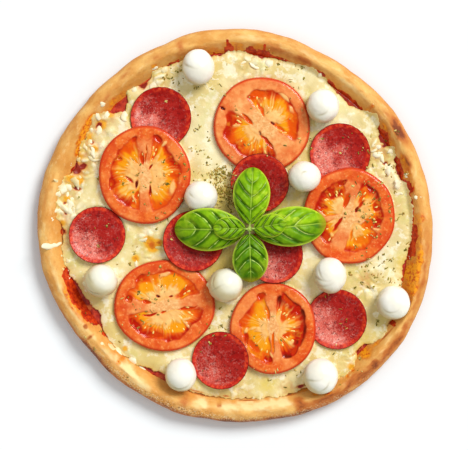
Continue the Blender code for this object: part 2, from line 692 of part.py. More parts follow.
def build():
    """Make every piece of the pizza, from the crust up."""
    clear_scene()
    surfaces = {
        "crust": material("baked_dough", (0.79, 0.42, 0.13), 0.75),
        "sauce": material("tomato_sauce", (0.38, 0.04, 0.008), 0.35),
        "cheese": material("melted_cheese", (0.85, 0.70, 0.34), 0.40),
        "tomato": material("tomato_flesh", (0.80, 0.16, 0.02), 0.30),
        "salami": material("salami", (0.42, 0.045, 0.03), 0.40),
        "mozzarella": material("fresh_mozzarella", (0.95, 0.92, 0.82), 0.35),
        "leaf": material("basil_leaf", (0.16, 0.33, 0.005), 0.30),
        "stem": material("basil_stem", (0.38, 0.55, 0.08), 0.45),
    }
    crust = make_crust(surfaces["crust"])
    make_sauce(surfaces["sauce"])
    toppings = make_toppings(crust, surfaces)
    cheese = make_cheese(toppings, surfaces["cheese"])
    stem = make_stem(cheese, surfaces["stem"])
    leaves = [make_leaf(*row, surfaces["leaf"]) for row in LEAVES]
    draw = random.Random(7)
    for carrier in [cheese] + [topping for topping in toppings if topping.name in HERB_DRIFTS]:
        above = surface_tree([piece for piece in toppings + leaves + [stem] if piece is not carrier])
        season(carrier, above, draw)


build()
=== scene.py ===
# %% [markdown]
# # A baked pizza, dressed for its picture
#
# The plain solids of this pizza come in as a fixed frame, in metres, with +Z up and the
# origin on the table under its middle. Each cell below replaces one kind of solid with a
# finer piece in the same place, and gives it the surface that the real food has.

# %% Load the frame
import math
import random

import bmesh
import bpy
from mathutils import Matrix, Vector, noise
from mathutils.bvhtree import BVHTree


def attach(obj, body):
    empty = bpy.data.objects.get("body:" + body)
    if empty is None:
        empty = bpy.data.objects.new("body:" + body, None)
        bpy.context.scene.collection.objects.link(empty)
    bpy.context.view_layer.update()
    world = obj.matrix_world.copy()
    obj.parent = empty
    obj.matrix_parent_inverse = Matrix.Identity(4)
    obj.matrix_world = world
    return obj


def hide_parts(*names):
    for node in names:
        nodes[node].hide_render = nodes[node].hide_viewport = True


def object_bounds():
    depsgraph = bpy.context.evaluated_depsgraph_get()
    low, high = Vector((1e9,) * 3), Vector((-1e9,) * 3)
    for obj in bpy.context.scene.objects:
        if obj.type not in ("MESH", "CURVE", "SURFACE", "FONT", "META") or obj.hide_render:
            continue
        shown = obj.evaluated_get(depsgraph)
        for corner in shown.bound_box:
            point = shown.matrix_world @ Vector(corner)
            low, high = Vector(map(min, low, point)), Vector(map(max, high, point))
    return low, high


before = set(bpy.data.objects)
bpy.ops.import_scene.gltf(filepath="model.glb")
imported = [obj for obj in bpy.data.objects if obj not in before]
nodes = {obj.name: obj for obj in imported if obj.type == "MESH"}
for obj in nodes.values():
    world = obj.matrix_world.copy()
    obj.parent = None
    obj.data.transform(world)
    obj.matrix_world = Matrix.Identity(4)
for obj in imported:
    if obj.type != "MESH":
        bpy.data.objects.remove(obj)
cad_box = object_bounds()
print(len(nodes), "solids, box", [round(1000 * side, 1) for side in cad_box[1] - cad_box[0]], "mm")

# %% [markdown]
# ## The camera
#
# The pizza is seen from straight above. Real food photographs of this kind are taken with
# a long lens from far away, so that nothing leans outwards at the edges. An orthographic
# camera would do that too, but a long lens keeps a trace of perspective, as the real one.

# %% Camera
PICTURE_WIDTH = 0.3537        # how much of the table the picture's width shows
PICTURE_MIDDLE = (-0.0008, 0.0004)
FOCUS_HEIGHT = 0.010
CAMERA_DISTANCE = 2.2

lens = bpy.data.cameras.new("camera")
lens.sensor_width = 36
lens.lens = lens.sensor_width * CAMERA_DISTANCE / PICTURE_WIDTH
lens.clip_start = 0.1
lens.clip_end = 20
camera = bpy.data.objects.new("camera", lens)
camera.location = (*PICTURE_MIDDLE, FOCUS_HEIGHT + CAMERA_DISTANCE)
bpy.context.scene.collection.objects.link(camera)
bpy.context.scene.camera = camera
print("lens", round(lens.lens), "mm")

# %% [markdown]
# ## Light
#
# A white table and a large soft light from the upper right give the bright, nearly
# shadowless look of studio food pictures. A sun lamp with a wide angle is the simplest
# such light: its shadow falls to the lower left and is soft at its edge. The white world
# fills the shadows. Wet food would mirror it and look grey, so photographers hang black
# cloth above the camera. Here the world is simply dimmer in reflections.

# %% Light and world
SUN_STRENGTH = 2.42
SUN_ANGLE = 26                # degrees across
SUN_FROM = Vector((0.62, 0.66, 0.95))
WORLD_STRENGTH = 0.57
MIRRORED_STRENGTH = 0.08      # how bright the same sky is in a reflection

sun = bpy.data.lights.new("key_light", "SUN")
sun.energy = SUN_STRENGTH
sun.angle = math.radians(SUN_ANGLE)
sun.color = (1.0, 0.99, 0.97)
key_light = bpy.data.objects.new("key_light", sun)
key_light.rotation_euler = SUN_FROM.to_track_quat("Z", "Y").to_euler()
bpy.context.scene.collection.objects.link(key_light)

world = bpy.data.worlds.new("studio")
world.use_nodes = True
backdrop = world.node_tree.nodes["Background"]
backdrop.inputs["Color"].default_value = (0.97, 0.985, 1.0, 1)
rays = world.node_tree.nodes.new("ShaderNodeLightPath")
strength = world.node_tree.nodes.new("ShaderNodeMapRange")
strength.inputs["To Min"].default_value = WORLD_STRENGTH
strength.inputs["To Max"].default_value = MIRRORED_STRENGTH
world.node_tree.links.new(rays.outputs["Is Glossy Ray"], strength.inputs["Value"])
world.node_tree.links.new(strength.outputs["Result"], backdrop.inputs["Strength"])
bpy.context.scene.world = world
bpy.context.scene.view_settings.view_transform = "Standard"
bpy.context.scene.view_settings.look = "None"
print("sun", SUN_STRENGTH, "and sky", WORLD_STRENGTH)

# %% [markdown]
# ## A small language for shaders
#
# Node trees are long to write by hand. `Wire` wraps the output of a node, so that
# `1 - mask * 0.5` adds its Math nodes by itself. Colours are built up like paint: a ground
# of two shades, and then coats, each with the share of the surface that it covers.

# %% Shader wires
class Wire:
    """The output of a shader node, which Python's own operators work on."""

    def __init__(self, tree, socket):
        self.tree = tree
        self.socket = socket

    def node(self, kind, settings=None, values=None, out=0):
        """Add a node: its type, its settings, its sockets' values or wires, and its output."""
        made = self.tree.nodes.new("ShaderNode" + kind)
        for key, value in (settings or {}).items():
            setattr(made, key, value)
        for key, value in (values or {}).items():
            if isinstance(value, Wire):
                self.tree.links.new(value.socket, made.inputs[key])
            else:
                made.inputs[key].default_value = value
        return Wire(self.tree, made.outputs[out])

    def math(self, operation, first, second=0.0):
        return self.node("Math", {"operation": operation}, {0: first, 1: second})

    def __add__(self, other):
        return self.math("ADD", self, other)

    def __sub__(self, other):
        return self.math("SUBTRACT", self, other)

    def __rsub__(self, other):
        return self.math("SUBTRACT", other, self)

    def __mul__(self, other):
        return self.math("MULTIPLY", self, other)

    def __pow__(self, other):
        return self.math("POWER", self, other)

    def __abs__(self):
        return self.math("ABSOLUTE", self)

    __radd__ = __add__
    __rmul__ = __mul__

    def most(self, other):
        return self.math("MAXIMUM", self, other)

    def step(self, low, high):
        """A smooth step from 0 at low to 1 at high; low may be the larger."""
        falls = low > high
        values = {"Value": self, "From Min": min(low, high), "From Max": max(low, high),
                  "To Min": float(falls), "To Max": float(not falls)}
        return self.node("MapRange", {"interpolation_type": "SMOOTHSTEP"}, values, "Result")

    def mix(self, first, second):
        """One colour where this wire is 0, another where it is 1."""
        pair = [paint(*colour) if isinstance(colour, tuple) else colour for colour in (first, second)]
        return self.node("Mix", {"data_type": "RGBA"}, {0: self, 6: pair[0], 7: pair[1]}, 2)

    def blend(self, low, high, first, second):
        """One colour where this wire is below low, another where it is above high."""
        return self.step(low, high).mix(first, second)

    def coats(self, *coats):
        """This colour under coats of others, each with the share that it covers."""
        colour = self
        for share, coat in coats:
            colour = share.mix(colour, coat)
        return colour

    def clouds(self, scale, detail=2.0, roughness=0.5):
        values = {"Vector": self, "Scale": scale, "Detail": detail, "Roughness": roughness}
        return self.node("TexNoise", None, values, "Fac")

    def cells(self, scale, feature="F1"):
        return self.node("TexVoronoi", {"feature": feature}, {"Vector": self, "Scale": scale}, "Distance")

    def painted(self, name):
        """A number that the mesh carries at each point."""
        return self.node("Attribute", {"attribute_name": name}, None, "Fac")


def paint(red, green, blue):
    """A colour as a screen shows it, from 0 to 255, turned into the light it reflects."""
    parts = [value / 255 for value in (red, green, blue)]
    return (*[p / 12.92 if p < 0.04 else ((p + 0.055) / 1.055) ** 2.4 for p in parts], 1)


def new_finish(name, **values):
    """A material: itself, its shader and the place on the piece as a wire."""
    made = bpy.data.materials.new(name)
    made.use_nodes = True
    tree = made.node_tree
    shader = tree.nodes["Principled BSDF"]
    for key, value in values.items():
        shader.inputs[key.replace("_", " ")].default_value = value
    return made, shader, Wire(tree, tree.nodes.new("ShaderNodeTexCoord").outputs["Object"])


def bumps(*heights):
    """Bumps on top of each other, each with its height, its strength and its depth."""
    bump = None
    for height, strength, depth in heights:
        below = {"Normal": bump} if bump else {}
        bump = height.node("Bump", None, {"Strength": strength, "Distance": depth, "Height": height, **below})
    return bump


def feed(shader, **wires):
    """Connect wires to the shader's sockets by name."""
    for key, wire in wires.items():
        wire.tree.links.new(wire.socket, shader.inputs[key.replace("_", " ")])
    print("a finish of", len(wire.tree.nodes), "nodes")


print("shader wires ready")

# %% [markdown]
# ## The table
#
# A plain pale plane. It is part of the stage and not of the pizza.

# %% Table
TABLE_SIZE = 12.0
TABLE_DROP = 0.0003           # keeps it clear of the flat underside of the crust

table_white, shader, place = new_finish(
    "table_white", Roughness=0.6, Specular_IOR_Level=0.2, Base_Color=(0.92, 0.955, 0.970, 1))
bm = bmesh.new()
bmesh.ops.create_grid(bm, x_segments=1, y_segments=1, size=TABLE_SIZE / 2)
table_mesh = bpy.data.meshes.new("table")
bm.to_mesh(table_mesh)
bm.free()
table_mesh.materials.append(table_white)
table = bpy.data.objects.new("table", table_mesh)
table.location.z = -TABLE_DROP
bpy.context.scene.collection.objects.link(table)
print("table", TABLE_SIZE, "m across")

# %% [markdown]
# ## Helpers for the pieces
#
# Every piece ends the same way: its faces are turned outwards and shaded smooth, it rides
# on the pizza, and the plain solids that it stands for are hidden. Round pieces are half
# sections spun about the upright axis, as on a potter's wheel.

# %% Numbers and places
TINY = 0.000005
UP = Vector((0, 0, 1))
DOWN = Vector((0, 0, -1))
ABOVE = 0.06                  # a height over everything, to look or to drop things down from


def clamp(value):
    return min(1, max(0, value))


def smooth(low, high, value):
    """A smooth step in Python: 0 at low, 1 at high, also when low is the larger."""
    share = clamp((value - low) / (high - low))
    return share * share * (3 - 2 * share)


def metres(millimetres):
    return [value / 1000 for value in millimetres]


def turn_between(first, second):
    """The angle between two directions, from 0 to half a turn."""
    return abs((first - second + math.pi) % math.tau - math.pi)


def direction_of(point):
    return math.atan2(point[1], point[0])


def towards(direction):
    return Vector((math.cos(direction), math.sin(direction), 0))


def waves(point, *sizes):
    """Noise of several sizes, each with its height and its pitch."""
    return sum(height * noise.noise(point * pitch) for height, pitch in sizes)


def grain(point, pitch, seed):
    """Noise over the plan of a piece, another one for each seed."""
    return noise.noise(Vector((point.x * pitch, point.y * pitch, seed)))


def standing(place, up):
    """The move that takes a thing made on the table to a place, its top turned up."""
    return Matrix.Translation(place) @ UP.rotation_difference(up).to_matrix().to_4x4()


print("halfway, a smooth step is", smooth(0, 1, 0.5))

# %% Meshes and pieces
def spun(profile, steps):
    """A closed form turned about the upright axis, from a half section, top to bottom."""
    bm = bmesh.new()
    points = [bm.verts.new((across, 0, up)) for across, up in profile]
    lines = [bm.edges.new(pair) for pair in zip(points, points[1:])]
    bmesh.ops.spin(bm, geom=points + lines, axis=(0, 0, 1), cent=(0, 0, 0),
                   angle=math.tau, steps=steps, use_merge=True)
    bmesh.ops.remove_doubles(bm, verts=bm.verts, dist=TINY)
    bmesh.ops.recalc_face_normals(bm, faces=bm.faces)
    return bm


def slice_of(flat_share, rings, edge, thickness, steps):
    """A slice of radius 1: a flat top out to a share of it, then the half section of its edge."""
    rows = [(flat_share * step / rings, 1) for step in range(rings + 1)] + list(edge)
    return spun([(share, up * thickness) for share, up in rows], steps)


def layers_of(bm, names):
    """New layers for numbers at the points of a mesh, by name."""
    return {name: bm.verts.layers.float.new(name) for name in names.split()}


def keep(vertex, layers, **values):
    """Store numbers at a point, where its finish will read them."""
    for name, value in values.items():
        vertex[layers[name]] = value


def add_piece(bm, name, finish, slot, *stands_for):
    """Turn a bmesh into a finished piece that rides on the pizza."""
    bmesh.ops.recalc_face_normals(bm, faces=bm.faces)
    mesh = bpy.data.meshes.new(name)
    bm.to_mesh(mesh)
    bm.free()
    mesh.shade_smooth()
    mesh.materials.append(finish)
    piece = bpy.data.objects.new(name, mesh)
    bpy.context.scene.collection.objects.link(piece)
    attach(piece, "root")
    if stands_for:
        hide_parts(*stands_for)
    print(name, len(mesh.polygons), "faces")
    return piece


def tree_of(pieces):
    """A search tree of the faces of some pieces."""
    corners = []
    faces = []
    for piece in pieces:
        first = len(corners)
        corners += [vertex.co.copy() for vertex in piece.data.vertices]
        faces += [[first + i for i in face.vertices] for face in piece.data.polygons]
    return BVHTree.FromPolygons(corners, faces)


toppings = [nodes[name] for name in nodes if name.split("_")[0] in ("tomato", "salami", "mozzarella")]
over_cheese = tree_of(toppings)
print(len(toppings), "toppings")

# %% [markdown]
# ## The crust
#
# Dough that was stretched by hand is never quite round. The outline is a circle with a few
# slow waves on it, and every other ring of the crust follows the same waves. The rim swelled
# in the oven, so it has soft blisters, and it browned where it stood highest and where it
# touched the hot stone.

# %% Crust shape
CRUST_RADIUS = 0.1487
CRUST_WAVES = ((1, 0.0020, 322), (2, 0.0020, 282), (3, 0.0012, 217), (4, 0.0005, 12),
               (5, 0.0009, 155), (7, 0.0003, 253))
BASE_THICKNESS = 0.0055
RIM_HEIGHT = 0.0170
WAIST_HEIGHT = 0.0092         # where the rim is widest
FOOT = CRUST_RADIUS - 0.0215  # where the bank starts to rise from the base
RIDGE = CRUST_RADIUS - 0.0085
BASE_INSET = 0.0110
BANK_STEPS = 18
BELLY_STEPS = 14
HEEL_STEPS = 12
BANK_DENTS = ((334, 8, 0.0050), (300, 8, 0.0030))
DENT_START = 0.0051
DENT_FULL = 0.0129


def outline(direction):
    """How far out the crust reaches in a direction."""
    return CRUST_RADIUS + sum(size * math.cos(count * direction - math.radians(crest))
                              for count, size, crest in CRUST_WAVES)


def crust_half_section():
    """Base, bank, ridge, belly and underside, each with the zone it lies in."""
    rows = [(FOOT * share, BASE_THICKNESS, 0.0) for share in (0, 0.3, 0.6, 0.85, 0.95)]
    for step in range(BANK_STEPS + 1):
        share = step / BANK_STEPS
        rise = (1 - math.cos(math.pi * share)) / 2
        rows.append((FOOT + (RIDGE - FOOT) * share,
                     BASE_THICKNESS + (RIM_HEIGHT - BASE_THICKNESS) * rise, share))
    for step in range(1, BELLY_STEPS + 1):
        angle = math.pi / 2 * step / BELLY_STEPS
        rows.append((RIDGE + (CRUST_RADIUS - RIDGE) * math.sin(angle),
                     WAIST_HEIGHT + (RIM_HEIGHT - WAIST_HEIGHT) * math.cos(angle), 1 + step / BELLY_STEPS))
    for step in range(1, HEEL_STEPS + 1):
        angle = math.pi / 2 * step / HEEL_STEPS
        rows.append((CRUST_RADIUS - BASE_INSET * (1 - math.cos(angle)),
                     WAIST_HEIGHT * (1 - math.sin(angle)), 2 + step / HEEL_STEPS))
    return rows + [(0.12, 0, 3), (0.06, 0, 3), (0, 0, 3)]


def dent_at(point):
    """How far a ball has pressed the bank outwards at a point."""
    push = 0
    for dent, half_width, depth in BANK_DENTS:
        away = turn_between(direction_of(point), math.radians(dent)) / math.radians(half_width)
        push += depth * math.exp(-away ** 2)
    return push * clamp((CRUST_RADIUS - point.xy.length - DENT_START) / (DENT_FULL - DENT_START))


reaches = [round(1000 * outline(math.radians(turn)), 1) for turn in range(360)]
print("crust reaches from", min(reaches), "to", max(reaches), "mm")

# %% [markdown]
# The browning is painted on the mesh, not in the shader: a list says where the oven left
# a mark, as a direction, a distance in from the outline and two sizes, and each point of
# the crust keeps how much of it it got. Sauce that crept up the bank is painted the same way.

# %% Crust marks
# direction and half width in degrees, inset and half width in millimetres, strength
# Mostly the oven's browning; the three marks at 75, 103 and 38 degrees, 11.5 to 12.5 mm in, are painted shade
# on the far bank, which faces away from the light.
TOAST_AND_BANK_SHADE = (
    (31, 4.6, 4.6, 3.8, 1), (29, 3, 6, 3, 0.6), (20, 2.6, 10.5, 2.6, 1), (-44.5, 0.9, 6.2, 3.2, 0.9),
    (-35, 7, 4, 3.6, 0.75), (-48, 7, 4, 3.6, 0.65), (-64, 7, 4, 4.5, 0.45), (-75, 9, 0.8, 1.6, 0.9),
    (-92, 9, 0.6, 1.4, 0.9), (-110, 9, 1.2, 1.6, 0.7), (-136, 5, 0.6, 1.8, 0.9), (-125, 7, 1, 1.6, 0.6),
    (-150, 10, 0.6, 1.4, 0.5), (126, 4, 6, 3, 0.4), (115, 4, 7, 3, 0.4), (107, 1.5, 6, 4.5, 0.55),
    (136, 6, 10, 3, 0.4), (78, 6, 9, 3, 0.35), (66, 5, 10.5, 3, 0.4), (-8, 9, 4, 3, 0.45),
    (-20, 6, 4.5, 3, 0.4), (-95, 0.8, 12.5, 2.6, 0.7), (-142.5, 0.5, 7.5, 3.4, 0.8), (-106, 2, 10, 6, 0.55),
    (-70, 1.8, 9.5, 6, 0.65), (-60, 7, 6, 4.5, 0.4), (-52, 4, 9, 4, 0.4), (75, 14, 12.5, 2.8, 0.32),
    (103, 12, 12.5, 2.8, 0.32), (38, 8, 11.5, 3, 0.3), (-141, 2.5, 0.8, 2, 1.2), (-92, 1.5, 1.2, 1.8, 1.2),
    (-61, 1.5, 9, 1.2, 0.8), (-139, 0.6, 6, 3, 0.5), (172, 6, 5, 3, 0.3), (150, 6, 4, 3, 0.3),
    (-86, 4, 16.5, 0.7, 0.7), (-73, 4, 17.2, 0.9, 0.9), (-101, 5, 17.8, 0.9, 0.8), (-36, 4, 13.5, 0.6, 0.8),
    (154, 2.2, 16.2, 1.2, 0.7), (149, 2.4, 13.6, 1.2, 0.7), (144, 2.6, 11.2, 1.2, 0.6),
    (-130.4, 0.7, 15, 1.6, 0.8), (-146, 0.5, 9.8, 1.8, 1.3),
)
# Pale cream: partly flour, and painted light where the near bank faces the light, between -160 and -36
# degrees.
FLOUR_AND_LIT_BANK = (
    (-160, 9, 7.5, 3, 0.6), (-147, 6, 8.5, 3.5, 0.5), (-134, 5, 9.5, 3.5, 0.6), (-127, 4, 12, 4.5, 1),
    (-120, 4, 8, 3.5, 0.8), (-101, 3, 12, 5, 0.9), (-92, 4, 11.5, 5, 0.8), (-82, 6, 12.5, 5, 1),
    (-75, 3, 12, 4.5, 0.8), (-36, 3, 11, 4, 0.5), (-54, 3, 15, 3, 0.5), (50, 8, 10, 3, 0.5),
    (66, 6, 6, 3, 0.5), (85, 6, 6.5, 3, 0.5), (172, 6, 10, 4, 0.5), (154, 6, 5, 3, 0.3),
    (-175, 4, 11, 3, 0.3), (10, 6, 5, 3, 0.3),
)
GRANULAR = ((-112, 26, 3.5, 2.6, 1), (-70, 20, 1.5, 2, 0.6))
# single drops and smears of fat
FAT_SPOTS = (
    (154.5, 2, 17.2, 2.6, 1.6), (151.5, 2, 15, 2.6, 1.6), (148, 2.2, 13, 2.4, 1.6), (144, 2.4, 11.2, 2, 1.5),
    (-130.5, 0.8, 10.5, 2.6, 1), (-50.8, 0.8, 13.5, 2, 1), (-53.4, 0.6, 13, 2, 1), (-61, 1.2, 9.2, 1.4, 0.9),
    (-64, 1.5, 13, 1.4, 0.9), (117, 1.2, 12.5, 1.8, 1), (41, 0.9, 10.5, 1.8, 0.8), (34, 2, 12.5, 1.5, 0.8),
    (-44.5, 1.6, 16, 5, 1.2), (-40, 2, 14.5, 1.6, 0.8), (22, 3, 12, 1.6, 0.7), (-15.5, 3.4, 14, 6.2, 1.6),
    (-10, 4.5, 9, 3, 1.1), (-20, 2, 11, 4, 1), (2, 2, 8, 4, 0.8), (-155, 5.5, 10, 1.8, 0.9),
    (135, 2.5, 15, 3, 0.8),
)
# direction and half width in degrees, inset in millimetres where it ends on the bank
SAUCED = (
    (92.5, 0.8, 5), (91.5, 1.2, 10), (80.5, 0.8, 7.8), (96.5, 3, 16.5), (85, 2.2, 12.2), (81, 4, 13),
    (75, 4.5, 14.2), (60.5, 2.6, 12.2), (56, 3, 14.6), (48, 6.5, 15.3), (31, 4.2, 13.2), (20, 4.5, 13.6),
    (12.6, 2.6, 10), (6, 5, 12.4), (-3, 4, 10.5), (-8, 3, 11.8), (161, 2.3, 16.5), (168, 1, 23),
    (134, 4.4, 17), (123, 2.2, 17.8), (110.5, 4, 15), (-31.8, 1.2, 12), (-44.5, 2.2, 19.5), (-68, 1.6, 18.5),
    (-119, 4.5, 17.8), (-140.5, 2.2, 14.8), (-149, 4.6, 12), (-157, 5.5, 10.2), (-163.5, 2.8, 12.5),
    (-178, 3.2, 17), (143.5, 1.2, 17), (-61, 1, 8.5),
)
GREASED = (
    (-12, 8.5, 6.2), (-21, 4, 8.5), (-1, 5, 7), (-44.5, 3, 10.8), (-154, 8, 8), (-130.5, 0.9, 7.2),
    (-50.8, 0.8, 10.8), (-53.4, 0.6, 10), (135, 6, 12.5), (97, 4, 13), (90.5, 3.5, 8.5), (82, 3, 9),
    (117, 1.2, 10), (41, 1.2, 8), (30, 5, 11), (16, 6, 8.5), (170.5, 1.2, 18), (-70, 6, 16.5), (-97, 5, 17),
)


def mark_at(direction, inset, marks):
    """How much of a list of oval marks with wavy edges a place has."""
    sideways = noise.noise(Vector((direction * 22, inset * 250, 3))) / 2
    inwards = noise.noise(Vector((direction * 40, inset * 420, 8))) / 2
    total = 0
    for middle, half_width, depth, half_depth, strength in marks:
        across = turn_between(direction, math.radians(middle)) / math.radians(half_width) + sideways
        along = (1000 * inset - depth) / half_depth + inwards
        total += strength * math.exp(-across ** 2 - along ** 2)
    return min(1, total)


def creep_at(direction, inset, creeps, raggedness):
    """How far sauce or grease has crept outwards past a place on the bank."""
    total = 0
    for middle, half_width, end in creeps:
        across = turn_between(direction, math.radians(middle)) / math.radians(half_width)
        start = end / 1000 + min(0.0090, 0.0110 / half_width * across ** 2) + raggedness
        total = max(total, smooth(start, start + 0.0014, inset) * smooth(1.25, 0.85, across))
    return total


print(len(TOAST_AND_BANK_SHADE + FLOUR_AND_LIT_BANK + FAT_SPOTS), "spots and", len(SAUCED + GREASED), "runs on the crust")

# %% [markdown]
# The crust is its half section turned once round, with every point then moved: out to the
# wavy outline, up and down with blisters and creases. They could be sculpted one by one.
# Noise is quicker and never repeats, and the lists above say where the oven left its marks.

# %% Crust mesh
CRUST_STEPS = 460
SAUCE_TOP = 0.0070
BLISTER_SIZE = 0.0011
BLISTER_PITCH = 55
LUMP_SIZE = 0.00035           # of the smaller lumps on the top, and of those on the side
SIDE_LUMP_SIZE = 0.0003
CREASE_DEPTH = 0.0004

rows = crust_half_section()
bm = spun([(across, up) for across, up, zone in rows], CRUST_STEPS)
layers = layers_of(bm, "toast floured sauce grease zone granular")
for vertex in bm.verts:
    flat = vertex.co.copy()
    radius = flat.xy.length
    direction = direction_of(flat)
    zone = min(rows, key=lambda row: abs(row[0] - radius) + abs(row[1] - flat.z))[2]
    share = outline(direction) / CRUST_RADIUS
    point = Vector((flat.x * share, flat.y * share, flat.z))
    if radius > FOOT - TINY and flat.z > BASE_THICKNESS - TINY:
        point.xy *= 1 + dent_at(flat) / point.xy.length
    top_share = clamp((point.z - SAUCE_TOP) / (RIM_HEIGHT - SAUCE_TOP))
    side_share = min(1, point.z / BASE_THICKNESS)
    swell = noise.noise(point * BLISTER_PITCH)
    bulge = noise.noise(point * BLISTER_PITCH + Vector((7, 3, 5)))
    lump = noise.noise(point * 115 + Vector((3, 1, 0))) + 0.5 * noise.noise(point * 260)
    crease = (1 - abs(noise.noise(Vector((direction * 9, radius * 300, 2)))) ** 0.7) ** 4
    point.z += (BLISTER_SIZE * swell + LUMP_SIZE * lump - CREASE_DEPTH * crease) * top_share
    if radius > RIDGE:
        point.xy *= 1 + BLISTER_SIZE * bulge * side_share / CRUST_RADIUS
        point.xy += towards(direction).xy * SIDE_LUMP_SIZE * lump * side_share
    inset = CRUST_RADIUS - radius if zone <= 2 else 0
    ragged = waves(point, (0.0016, 210), (0.0010, 520))
    keep(vertex, layers, zone=zone, granular=1.3 * mark_at(direction, inset, GRANULAR))
    if zone <= 2:
        keep(vertex, layers, toast=mark_at(direction, inset, TOAST_AND_BANK_SHADE),
             floured=mark_at(direction, inset, FLOUR_AND_LIT_BANK))
    if zone <= 1.5:
        creeping = 0.55 * creep_at(direction, inset, GREASED, ragged)
        keep(vertex, layers, grease=max(creeping, mark_at(direction, inset, FAT_SPOTS)))
    if zone <= 1:
        keep(vertex, layers, sauce=creep_at(direction, inset, SAUCED, ragged))
    vertex.co = point
low, high = (Vector((f(v.co.x for v in bm.verts), f(v.co.y for v in bm.verts), 0)) for f in (min, max))
bmesh.ops.translate(bm, verts=bm.verts, vec=-(low + high) / 2)
fit = min((cad_box[1][axis] - cad_box[0][axis]) / (high[axis] - low[axis]) for axis in (0, 1))
bmesh.ops.scale(bm, verts=bm.verts, vec=(fit, fit, 1))
print("crust", len(bm.verts), "points, fitted by", round(fit, 4))

# %% [markdown]
# Baked dough is matt and never one colour: golden where it is thin, pale where flour lay
# on it, orange-brown down its side and almost burnt at its toasted spots. Painted light makes
# the near bank paler, and painted shade darkens parts of the far one. The shader mixes these
# with clouds of several sizes, and small pits give it a dry crumb.

# %% Crust finish
baked_dough, shader, place = new_finish("baked_dough", Specular_IOR_Level=0.3)
zone = place.painted("zone")
x, y = (place.node("SeparateXYZ", None, {0: place}, axis) for axis in (0, 1))
along_rim = place.node("CombineXYZ", None, {"X": x, "Y": y, "Z": zone * 0.024})
fine = place.clouds(420, 3.0, 0.6)
flour = along_rim.clouds(120, 3.0, 0.6)
floured = place.painted("floured") * (0.4 + 1.2 * along_rim.clouds(90, 3.0, 0.6))
toast = place.painted("toast") * (0.25 + 1.5 * along_rim.clouds(150, 5.0, 0.7))
grease = place.painted("grease") * (0.45 + 1.1 * place.clouds(200, 3.0, 0.7))
orange = place.clouds(380, 3.0, 0.6).blend(0.36, 0.56, (210, 76, 6), (255, 166, 26))
granular = place.painted("granular") * 0.7
sauced = (place.painted("sauce") * (0.55 + place.clouds(330, 3.0, 0.6))).step(0.35, 0.65)
golden = along_rim.clouds(56, 3.0, 0.55).blend(0.32, 0.68, (244, 190, 106), (224, 154, 70)).coats(
    (flour.step(0.54, 0.72) * 0.45, (252, 216, 148)),
    (flour.step(0.44, 0.30) * 0.30, (208, 128, 50)),
    # Darker orange on the inner bank: partly the dough's colour, partly painted warm shade.
    (zone.step(1.0, 0.35) * 0.45, (222, 142, 50)),
    (zone.step(1.30, 2.1) * 0.8, (204, 124, 50)),
    (zone.step(2.0, 2.7) * 0.8, (166, 92, 38)),
    (fine.step(0.55, 0.75) * 0.30, (190, 112, 46)),
    # Pale cream: flour, and painted light on the near bank.
    (floured.step(0.20, 0.95) * 0.85, (255, 234, 170)),
    # Brown: toast, and painted shade on the far bank.
    (toast.step(0.08, 0.60), (200, 112, 44)),
    (toast.step(0.50, 1.05), (134, 62, 24)),
    (grease.step(0.08, 0.70) * 0.70, (220, 122, 22)),
    (grease.step(0.36, 0.88) * 0.92, orange),
    (place.clouds(850, 2.0, 0.6).step(0.50, 0.62) * granular, (250, 222, 170)),
    (place.clouds(760, 2.0, 0.6).step(0.46, 0.36) * granular, (150, 88, 38)),
    (sauced, place.clouds(300, 3.0, 0.6).blend(0.35, 0.65, (166, 24, 4), (220, 68, 12))))
pits = place.cells(700).step(0.0, 0.5)
feed(shader, Base_Color=golden, Roughness=0.66 - 0.34 * sauced.most(grease.step(0.2, 0.8)),
     Normal=bumps((flour, 0.55, 0.0012), (fine * 0.7 + pits * 0.3, 0.5, 0.0005)))
crust = add_piece(bm, "crust_baked", baked_dough, "dough", "crust")

# %% [markdown]
# ## The sauce
#
# Tomato sauce is spread before the cheese, so it shows only where the cheese drew back
# from the rim. It is a thin turned plate with a lumpy top that runs a hair into the bank,
# as wet sauce soaks into dough.

# %% Sauce
SAUCE_BOTTOM = 0.0058
SAUCE_EDGE = 0.1306
SAUCE_SEEN = 0.105            # from here outwards it may show, so it has fine rings
SAUCE_RINGS = 26
SAUCE_LUMPS = 0.0002

across = [0, 0.05, 0.10] + [SAUCE_SEEN + (SAUCE_EDGE - SAUCE_SEEN) * step / SAUCE_RINGS
                            for step in range(SAUCE_RINGS + 1)]
rows = [(reach, SAUCE_TOP) for reach in across] + [(SAUCE_EDGE - 0.003, SAUCE_BOTTOM), (0, SAUCE_BOTTOM)]
bm = spun(rows, 420)
for vertex in bm.verts:
    point = vertex.co
    share = outline(direction_of(point)) / CRUST_RADIUS
    if point.z > SAUCE_TOP - TINY and point.xy.length > 0.1:
        point.z += SAUCE_LUMPS * waves(point, (1, 190), (0.7, 420))
    point.xy *= share

tomato_sauce, shader, place = new_finish("tomato_sauce", Coat_Weight=0.6, Coat_Roughness=0.1)
pulp = place.clouds(260, 4.0, 0.65)
red = pulp.blend(0.35, 0.7, (160, 20, 4), (218, 66, 16)).coats(
    (place.clouds(90, 2.0).step(0.58, 0.72), (226, 104, 28)))
feed(shader, Base_Color=red, Roughness=0.22 + 0.3 * pulp, Normal=bumps((pulp, 0.6, 0.0008)))
add_piece(bm, "sauce_spread", tomato_sauce, "sauce", "sauce")

# %% [markdown]
# ## The cheese
#
# Grated cheese melts into one soft sheet: smooth and pale where it pooled, lumpy where the
# shreds kept their shape, thin and ragged at its edge. A hexagon cut into even triangles
# and pressed into the outline gives points that are all equally far apart, so no part of
# the sheet is coarser than another.

